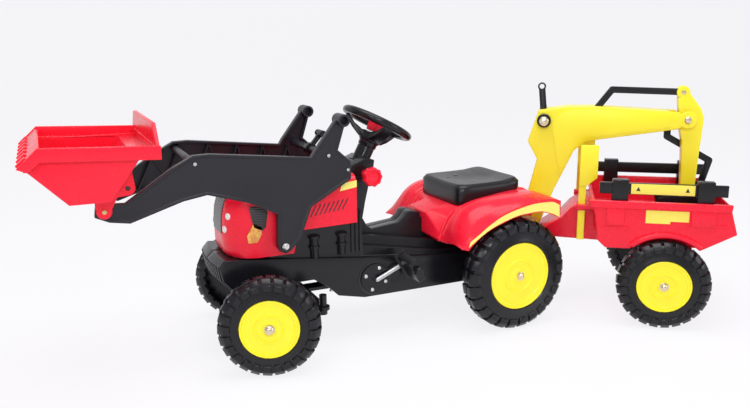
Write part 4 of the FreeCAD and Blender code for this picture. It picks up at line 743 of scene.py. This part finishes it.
# seat shell: a hump with two lofted fenders
rootLine = [(-158, 212), (-146, 228), (-128, 256), (-108, 281), (-86, 291), (-45, 299), (10, 308), (60, 312),
    (96, 306), (112, 298)]
crestLine = [(-152, 215), (-147, 244), (-131, 273), (-110, 293), (-83, 305), (-45, 311), (10, 314.5), (60, 314.5),
    (96, 308), (112, 298)]
brimLine = [(-156, 214), (-140, 226), (-112, 246), (-83, 266), (-55, 281), (-20, 292), (24, 303), (66, 306),
    (96, 304), (112, 298)]
underLine = [(-138, 208), (-119, 226), (-83, 249), (-19, 271), (24, 276), (60, 276), (92, 266), (112, 256)]
spread = [(92.0, 1, 0), (113.2, 0.3, 0), (134.4, 0, 0), (160.9, 0, 0.15), (183.2, 0, 0.55), (198.0, 0, 1)]
fenderLook = dict(edge=198, count=44, thick=3.0, lean=0.6)
fenderStations = [92 + 36 * i / 24 for i in range(25)]
fenderStations += [133, 139, 146, 153, 160, 166, 172, 177, 182, 187, 191, 194.5, 197, 198]
fluteLook = dict(start=93.0, end=126.0, waves=3, depth=4.5, fade=0.6)
flankLine = [(-160, 212), (-140, 200), (-107, 192), (60, 192), (108, 215), (108, 299), (80, 313.5), (72, 315.5),
    (-105, 284.5), (-128, 258), (-150, 226)]
humpLine = [(-166, 217), (-140, 196), (-107, 192), (60, 192), (104, 215), (104, 297), (80, 312.5), (72, 315),
    (-105, 284.5), (-150, 272), (-166, 268)]
ribLook = dict(places=(76, 89, 102), half=3.4, rise=3.4, count=10)
stripeTop = [(-134, 228), (-112, 242), (-83, 261), (-41, 281.5), (24, 297), (70, 299), (92, 297), (108, 289)]
stripeLow = [(-138, 216), (-83, 251), (-19, 273), (24, 278.5), (60, 278.5), (92, 268.5), (110, 259)]
stripeLook = dict(count=30, proud=198.35, sunk=197.7)
reflector = [(48, 259), (92, 246), (96, 243), (93, 230), (88, 230), (52, 243)]


# share of the root line and of the brim line at a distance from the middle
def mixAt(y):
    for (y0, root0, brim0), (y1, root1, brim1) in zip(spread, spread[1:]):
        if y <= y1:
            f = (y - y0) / (y1 - y0)
            return root0 + (root1 - root0) * f, brim0 + (brim1 - brim0) * f
    return 0, 1


def fenderLoft(bm, sign):
    count, edge = fenderLook["count"], fenderLook["edge"]
    lines = [smoothLine(points, count) for points in (underLine, rootLine, crestLine, brimLine)]
    grid = []
    for i, (low, root, crest, brim) in enumerate(zip(*lines)):
        fade = max(0.0, 1 - i / (count - 1) / fluteLook["fade"])
        line = []
        for y in fenderStations:
            r, b = mixAt(y)
            x, z = [root[k] * r + brim[k] * b + crest[k] * (1 - r - b) for k in (0, 1)]
            f = (y - fluteLook["start"]) / (fluteLook["end"] - fluteLook["start"])
            if 0 < f < 1:
                z -= fluteLook["depth"] * fade * (1 - abs(sin(pi * fluteLook["waves"] * f)))
            line.append((x, y, z))
        for share in (0.25, 0.6, 1.0):
            x, z = [brim[k] + (low[k] - brim[k]) * share for k in (0, 1)]
            line.append((x, edge - fenderLook["lean"] * share, z))
        grid.append([bm.verts.new((x, sign * y, z)) for x, y, z in line])
    bridge(bm, grid, False, ())


bm = bmesh.new()
for sign in (-1, 1):
    fenderLoft(bm, sign)
faceOut(bm)
for sign in (-1, 1):
    faces = [f for f in bm.faces if f.calc_center_median().y * sign > 0]
    tall = max(faces, key=lambda f: f.calc_center_median().z)
    if tall.normal.z < 0:
        bmesh.ops.reverse_faces(bm, faces=faces)
bmesh.ops.solidify(bm, geom=bm.faces[:], thickness=fenderLook["thick"])
fenders = rawMesh(bm, "fenders")
fenders.transform(toMetres)
bm = bmesh.new()
ringsAcross(bm, [(flankLine, -96), (flankLine, -88), (humpLine, -44), (humpLine, 44), (flankLine, 88),
                 (flankLine, 96)])
soften(bm, 5.0, 4, 24)
hump = meshFrom(bm, "hump")
piece("seatShell", joined("seatShell", [fenders, hump]), "red", "tractor", ("seat_shell",), 40)
ribLine = smoothLine([(-112, 280), (-128, 258), (-146, 231), (-153, 221)], ribLook["count"])
rises = [ribLook["rise"] * sin(pi * i / (ribLook["count"] - 1)) for i in range(ribLook["count"])]
ribShape = [(x - rise, z + rise) for (x, z), rise in zip(ribLine, rises)]
ribShape += [(x + 6, z - 4) for x, z in reversed(ribLine)]
bm = bmesh.new()
for sign in (-1, 1):
    for y in ribLook["places"]:
        addPrism(bm, ribShape, sign * y - ribLook["half"], sign * y + ribLook["half"])
soften(bm, 2.4, 3)
piece("shellRibs", meshFrom(bm, "shellRibs"), "red", "tractor")
for sign in (-1, 1):
    bm = bmesh.new()
    rings = []
    for top, low in zip(*[smoothLine(points, stripeLook["count"]) for points in (stripeTop, stripeLow)]):
        corners = ((top, "proud"), (low, "proud"), (low, "sunk"), (top, "sunk"))
        rings.append([bm.verts.new((x, sign * stripeLook[level], z)) for (x, z), level in corners])
    bridge(bm, rings)
    piece("fenderStripe%d" % sign, meshFrom(bm, "fenderStripe"), "stripe", "tractor")
    slab("tailReflector%d" % sign, reflector, *span(sign, 95, 132), "amber", "tractor", 2.0)
print("shell done")

# chassis mouldings with a rounded nose, engine ribs and cylinders
noseLook = dict(cuts=(16, 30, 44, 56, 66, 74, 80, 84), radius=484.0, start=-600.0, end=-692.0, pull=12.0, fins=13,
                finPitch=13.0, finHalf=2.0)
noseFin = [(-676, 214), (-694, 211), (-687, 180), (-661, 157), (-655, 170)]
engineLook = dict(cylinders=(-461, -397), y=81, floor=205, edges=(-371, -361, -351), half=3, reach=(79, 83.5),
                  low=206, high=298)
cylinder = [(0, 0), (9, 0), (9, 22), (12, 23), (12, 28), (9, 29), (9, 44), (13, 45), (13, 50), (10, 52), (0, 52)]
crankLook = dict(x=-319.5, z=139.0, screws=4, reach=26.0, start=70.0, face=94.0)
coverScrew = [(0, 0), (4.4, 0), (4.4, 1.2), (3.2, 2.4), (1.4, 2.5), (1.2, 1.4), (0, 1.4)]
coverGap = [(35, 87.6), (39.5, 87.6), (39.2, 88.5), (37.5, 89.0), (35, 88.8), (35, 87.6)]


def pullNose(bm):
    for v in bm.verts:
        weight = ramp(v.co.x, noseLook["start"], noseLook["end"])
        v.co.x += (noseBack(v.co.y, 0.0, noseLook["radius"]) + noseLook["pull"]) * weight


def roundNose(bm):
    for y in noseLook["cuts"]:
        for sign in (-1, 1):
            bmesh.ops.bisect_plane(bm, geom=bm.verts[:] + bm.edges[:] + bm.faces[:], plane_co=(0, sign * y, 0),
                                   plane_no=(0, 1, 0))
    pullNose(bm)


bm = bmesh.new()
for i in range(noseLook["fins"]):
    y = (i - noseLook["fins"] // 2) * noseLook["finPitch"]
    addPrism(bm, noseFin, y - noseLook["finHalf"], y + noseLook["finHalf"])
soften(bm, 0.8)
pullNose(bm)
piece("bumperFins", meshFrom(bm, "bumperFins"), "black", "tractor")
for side, sign in sides:
    softCopy("chassis_" + side, "black", "tractor", 2.2, 2, roundNose)
for sign in (-1, 1):
    half, low, high = engineLook["half"], engineLook["low"], engineLook["high"]
    for i, x in enumerate(engineLook["cylinders"]):
        base = (x, sign * engineLook["y"], engineLook["floor"])
        turnedPiece("engineCylinder%d_%d" % (sign, i), cylinder, "black", "tractor", base, (0, 0, 1), 28)
    for i, x in enumerate(engineLook["edges"]):
        ridge = [(x - half, low), (x + half, low), (x + half, high), (x - half, high)]
        slab("engineEdge%d_%d" % (sign, i), ridge, *span(sign, *engineLook["reach"]), "black", "tractor", 1.6)
for node, width in (("front_axle_beam", 1.2), ("axle_bushes", 0.6), ("crank_covers", 1.4)):
    softCopy(node, "black", "tractor", width)
# dark ring: painted shadow in the gap round each crank cover
turnedPairs("coverGaps", "ink", "tractor", [(coverGap, crankLook["x"], 0, crankLook["z"], 64)])
screws = []
for i in range(crankLook["screws"]):
    angle = radians(crankLook["start"] + 360 / crankLook["screws"] * i)
    screws.append((coverScrew, crankLook["x"] + crankLook["reach"] * cos(angle), crankLook["face"],
                   crankLook["z"] + crankLook["reach"] * sin(angle), 20))
turnedPairs("coverScrews", "steel", "tractor", screws, None, ("cover_screws",))
print("chassis done")

# dash, steering wheel, horn and knob
rimLook = dict(centre=(-270, 0, 482), radius=76.0, wide=10.6, tall=9.4, around=72, across=18, spokes=3, spokeHalf=12)
spokeLine = [(12, -44), (12, -28), (24, -27.5), (48, -20), (69, -4), (76, -3), (76, -8), (71, -14), (50, -31),
    (26, -44)]
steerHub = [(0, -60), (20, -60), (21.5, -58), (22, -49), (25, -46), (26, -42), (26, -29), (24, -26), (0, -26)]
hornLook = dict(lobes=8, depth=0.1, inside=12)
hornProfile = [(0, -22), (15, -22), (16.6, -19), (17.8, -4), (17.8, 3), (15.6, 7.6), (10, 10.2), (0, 11)]
knobLook = dict(lobes=9, depth=0.05, inside=18, base=(-322, -45.8, 374))
knobProfile = [(0, 0), (10, 0), (10, 18), (13, 26), (19.5, 30), (21, 33), (21, 46), (19, 49), (15.5, 49.6),
    (13.5, 45), (4, 46), (0, 46.2)]


def lobed(look):
    return lambda angle, r: 1 + (look["depth"] * cos(look["lobes"] * angle) if r > look["inside"] else 0)


softCopy("dash_panel", "black", "tractor", 1.6)
steeringPlace = aim(rimLook["centre"], columnUp) @ turnZ(steerLook["turn"] * steerLook["gear"])
bm = bmesh.new()
rings = []
for i in range(rimLook["around"]):
    a = 2 * pi * i / rimLook["around"]
    ring = []
    for j in range(rimLook["across"]):
        b = 2 * pi * j / rimLook["across"]
        r = rimLook["radius"] + rimLook["wide"] * cos(b)
        ring.append(bm.verts.new((r * cos(a), r * sin(a), rimLook["tall"] * sin(b))))
    rings.append(ring)
bridge(bm, rings + rings[:1], True, ())
for i in range(rimLook["spokes"]):
    spoke = bmesh.new()
    addPrism(spoke, spokeLine, -rimLook["spokeHalf"], rimLook["spokeHalf"])
    for v in spoke.verts:  # spokes narrow towards the rim
        v.co.y *= 1.75 - 0.85 * v.co.x / rimLook["radius"]
    soften(spoke, 2.0)
    spoke.transform(turnZ(180 + 360 / rimLook["spokes"] * i))
    bm.from_mesh(rawMesh(spoke, "spoke"))
addLathe(bm, steerHub, None, 40)
piece("steeringRim", meshFrom(bm, "steeringRim", steeringPlace), "black", "steering", ("steering_wheel",), 40)
bm = bmesh.new()
addLathe(bm, hornProfile, None, 64, lobed(hornLook))
piece("hornCap", meshFrom(bm, "hornCap", steeringPlace), "red", "horn", ("horn_button",), 40)
bm = bmesh.new()
addLathe(bm, knobProfile, aim(knobLook["base"], (0, -1, 0)), 56, lobed(knobLook))
piece("dashKnob", meshFrom(bm, "dashKnob"), "red", "knob", ("dash_knob",), 40)
print("steering done")

# pedals with end caps over the spindles
for side, sign in sides:
    softCopy("pedal_" + side, "black", side + "_pedal", 1.6)
    low, high = [Vector(corner) * 1000 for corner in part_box("pedal_" + side)]
    reach = max(abs(corner[1]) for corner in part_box("crank")) * 1000
    start = max(abs(low.y), abs(high.y)) - 2
    cap = [(0, start), (10.5, start), (10.5, reach), (9.4, reach + 1.6), (4, reach + 2.2), (0, reach + 2.2)]
    turnedPiece("pedalCap" + side, cap, "black", side + "_pedal", ((low.x + high.x) / 2, 0, (low.z + high.z) / 2),
                (0, sign, 0), 32)
print("pedals done")

# trailer tub, rails, shovels
tubMouldings = [  # name, outline, distance from the middle, finish, bevel, bevel segments
    ("tubRim%d", [(160, 283), (154, 300.5), (466, 300.5), (464, 283)], (160.5, 172), "red", 2.2, 3),
    ("tubPanelFront%d", [(195, 243), (236, 244), (234, 285), (194, 285)], (163, 170.5), "red", 1.8, 2),
    ("tubPanelRear%d", [(381, 247), (434, 248), (430, 285), (379, 285)], (163, 170.5), "red", 1.8, 2),
    ("tubCreaseFront%d", [(186, 233), (250, 236), (250, 240), (186, 238)], (163, 167.5), "red", 1.4, 2),
    ("tubCreaseRear%d", [(374, 247), (458, 249), (458, 253), (374, 251)], (163, 167.5), "red", 1.4, 2),
    ("railPlate%d", [(247, 315.5), (386, 315.5), (386, 339.5), (247, 339.5)], (153, 153.6), "plate", 0.2, 2),
    ("plateMark%d_0", [(258, 323), (268, 323), (263, 333)], (153.5, 153.9), "ink", 0.1, 2),
    ("plateMark%d_1", [(365, 323), (375, 323), (370, 333)], (153.5, 153.9), "ink", 0.1, 2),
    ("tubPlate%d", [(282, 250), (336, 250), (336, 256), (376, 256), (376, 281), (282, 281)], (164.5, 165.6), "plate",
     0.2, 2),
]
archLook = dict(start=50, sweep=80, steps=24)
archLip = ((112.6, 163), (112.6, 171), (115, 172.5), (121, 172.5), (124, 170), (125, 164.5))
for node, finish, width, segments in (
        ("trailer_tub", "red", 3.0, 3), ("trailer_rails", "black", 1.5, 2), ("rail_brackets", "black", 2.0, 2)):
    softCopy(node, finish, "trailer", width, segments)
for sign in (-1, 1):
    for name, points, reach, finish, bevel, segments in tubMouldings:
        slab(name % sign, points, *span(sign, *reach), finish, "trailer", bevel, onTrailer, segments)
bm = bmesh.new()
for sign in (-1, 1):
    rings = []
    for i in range(archLook["steps"] + 1):
        angle = radians(archLook["start"] + archLook["sweep"] * i / archLook["steps"])
        c, s = cos(angle), sin(angle)
        rings.append([bm.verts.new((trailerWheel["x"] + r * c, sign * y, trailerWheel["radius"] + r * s))
                      for r, y in archLip])
    bridge(bm, rings)
piece("archLips", meshFrom(bm, "archLips", onTrailer), "red", "trailer")
for side, sign in sides:
    softCopy("shovel_" + side, "yellow", side + "_shovel", 1.6)
print("trailer done")

# digger
boomPanel = [(62, 446), (68, 468), (84, 487), (106, 496.5), (170, 498), (340, 488.6), (340, 457.5), (148, 427),
    (116, 400), (84, 330)]
leverCap = [(0, 0), (17, 0), (17, 12.6), (15.6, 14), (12.8, 14), (12.5, 26), (11.4, 27.8), (9.2, 28), (8.8, 26.6),
    (0, 26.6)]
leverNut = [(0, 26.4), (11.2, 26.4), (11.2, 28.6), (10.2, 29.4), (7.8, 29.6), (7.6, 33.4), (6.2, 35.2), (3.0, 36.2),
    (0, 36.4)]
stickNut = [(0, 0), (8.4, 0), (8.4, 1.6), (6.6, 3.4), (2.2, 4.2), (0, 4.2)]
linkNut = [(0, 0), (5.6, 0), (5.0, 1.2), (0, 1.6)]
for node, finish, body, width, segments in (
        ("digger_boom", "yellow", "boom", 2.6, 3), ("digger_stick", "yellow", "stick", 2.4, 3),
        ("digger_bucket", "black", "dig_bucket", 1.4, 2), ("stick_link", "black", "upper_link", 1.4, 2),
        ("bucket_link", "black", "lower_link", 1.4, 2), ("dig_lever", "black", "lever", 1.4, 2)):
    softCopy(node, finish, body, width, segments)
for sign in (-1, 1):
    slab("boomPanel%d" % sign, boomPanel, *span(sign, 31.5, 34.2), "yellow", "boom", 1.2, onTrailer)
turnedPairs("leverCaps", "black", "boom", [(leverCap, 42, 32, 470, 40)], onTrailer, ("boom_bolts",))
turnedPairs("boomStuds", "zinc", "boom", [(leverNut, 42, 32, 470, 32), (stickNut, 378.7, 32, 475.5, 32)], onTrailer)
turnedPairs("linkStuds", "zinc", "stick", [(linkNut, 366.5, 15, 540.5, 24)], onTrailer)
print("digger done")

# remaining solids keep their shape and take a finish
plainFinish = {"crank": "rod", "tie_rod": "black", "drive_chain": "black", "knuckle_left": "black",
               "knuckle_right": "black"}
for node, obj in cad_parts.items():
    if not obj.hide_render:
        obj.data.materials.clear()
        obj.data.materials.append(finishes[plainFinish.get(node, "steel")])

# floor, light and camera
floorPaint = Finish("paleFloor")
shade = floorPaint.blend(floorPaint.noise(2.0, 2.0), (0.90, 0.895, 0.915, 1), (0.92, 0.915, 0.935, 1))
floorPaint.set(Base_Color=shade, Roughness=0.55)
path = "ShaderNodeLightPath"
seen = floorPaint.node(path) + floorPaint.node(path, out=3)  # camera rays and glossy rays
white = floorPaint.node("ShaderNodeEmission", None, {"Color": (0.982, 0.975, 1.0, 1), "Strength": 1.0})
floorPaint.feed(floorPaint.output.inputs[0], floorPaint.node("ShaderNodeMixShader", None, {
    0: seen * 0.84, 1: Wire(floorPaint.tree, floorPaint.shader.outputs[0]), 2: white}))
floorLook = dict(half=8.0, front=-6.0, bend=4.0, radius=2.0, steps=12, top=6.0, below=0.0005)
bend, radius = floorLook["bend"], floorLook["radius"]
angles = [pi / 2 * i / floorLook["steps"] for i in range(floorLook["steps"] + 1)]
profile = [(bend + radius * sin(angle), radius * (1 - cos(angle))) for angle in angles]
profile = [(floorLook["front"], 0.0)] + profile + [(bend + radius, floorLook["top"])]
bm = bmesh.new()
bridge(bm, [[bm.verts.new((x, y, z - floorLook["below"])) for y, z in profile]
            for x in (floorLook["half"], -floorLook["half"])], False, ())
sweep = rawMesh(bm, "paperSweep")
sweep.shade_smooth()
sweep.materials.append(floorPaint.material)
backdrop = bpy.data.objects.new("paperSweep", sweep)
scene.collection.objects.link(backdrop)

world = bpy.data.worlds.new("softRoom")
scene.world = world
world.use_nodes = True
room = world.node_tree
room.nodes["Background"].inputs[0].default_value = (0.95, 0.95, 1.0, 1)
straight = Wire(room, room.nodes.new("ShaderNodeLightPath").outputs[0])
room.links.new((straight * 0.4 + 0.52).socket, room.nodes["Background"].inputs[1])  # paler where seen past the paper


def softBox(name, place, target, size, power):
    light = bpy.data.lights.new(name, "AREA")
    light.shape = "RECTANGLE"
    light.size, light.size_y = size
    light.energy = power
    lamp = bpy.data.objects.new(name, light)
    lamp.location = place
    lamp.rotation_euler = (Vector(target) - Vector(place)).to_track_quat("-Z", "Y").to_euler()
    scene.collection.objects.link(lamp)


softBox("topBox", (-0.3, -0.3, 2.7), (-0.2, 0, 0.2), (2.4, 1.6), 46)
softBox("sideBox", (-2.6, -2.2, 1.7), (-0.3, 0, 0.3), (1.0, 1.4), 20)
softBox("flashBox", (-0.75, -1.75, 1.25), (-0.2, 0, 0.3), (0.28, 0.28), 8.0)
softBox("fillBox", (2.2, -2.4, 1.5), (0.2, 0, 0.3), (1.0, 1.4), 16)

cameraLook = dict(place=(-0.9793, -1.5436, 0.6748), yaw=0.4269, pitch=0.2229, roll=0.0093, focal=733.0, pixels=750)
camera = bpy.data.cameras.new("photoCamera")
camera.sensor_width = 36.0
camera.lens = cameraLook["focal"] / cameraLook["pixels"] * camera.sensor_width
camera.clip_end = 50
eye = bpy.data.objects.new("photoCamera", camera)
yaw, pitch, roll = cameraLook["yaw"], cameraLook["pitch"], cameraLook["roll"]
ahead = Vector((sin(yaw) * cos(pitch), cos(yaw) * cos(pitch), -sin(pitch)))
across = Vector((cos(yaw), -sin(yaw), 0))
down = ahead.cross(across)
across, down = cos(roll) * across + sin(roll) * down, cos(roll) * down - sin(roll) * across
eye.matrix_world = Matrix.Translation(cameraLook["place"]) @ Matrix((across, -down, -ahead)).transposed().to_4x4()
scene.collection.objects.link(eye)
scene.camera = eye
scene.view_settings.view_transform = "Standard"
print("stage done")
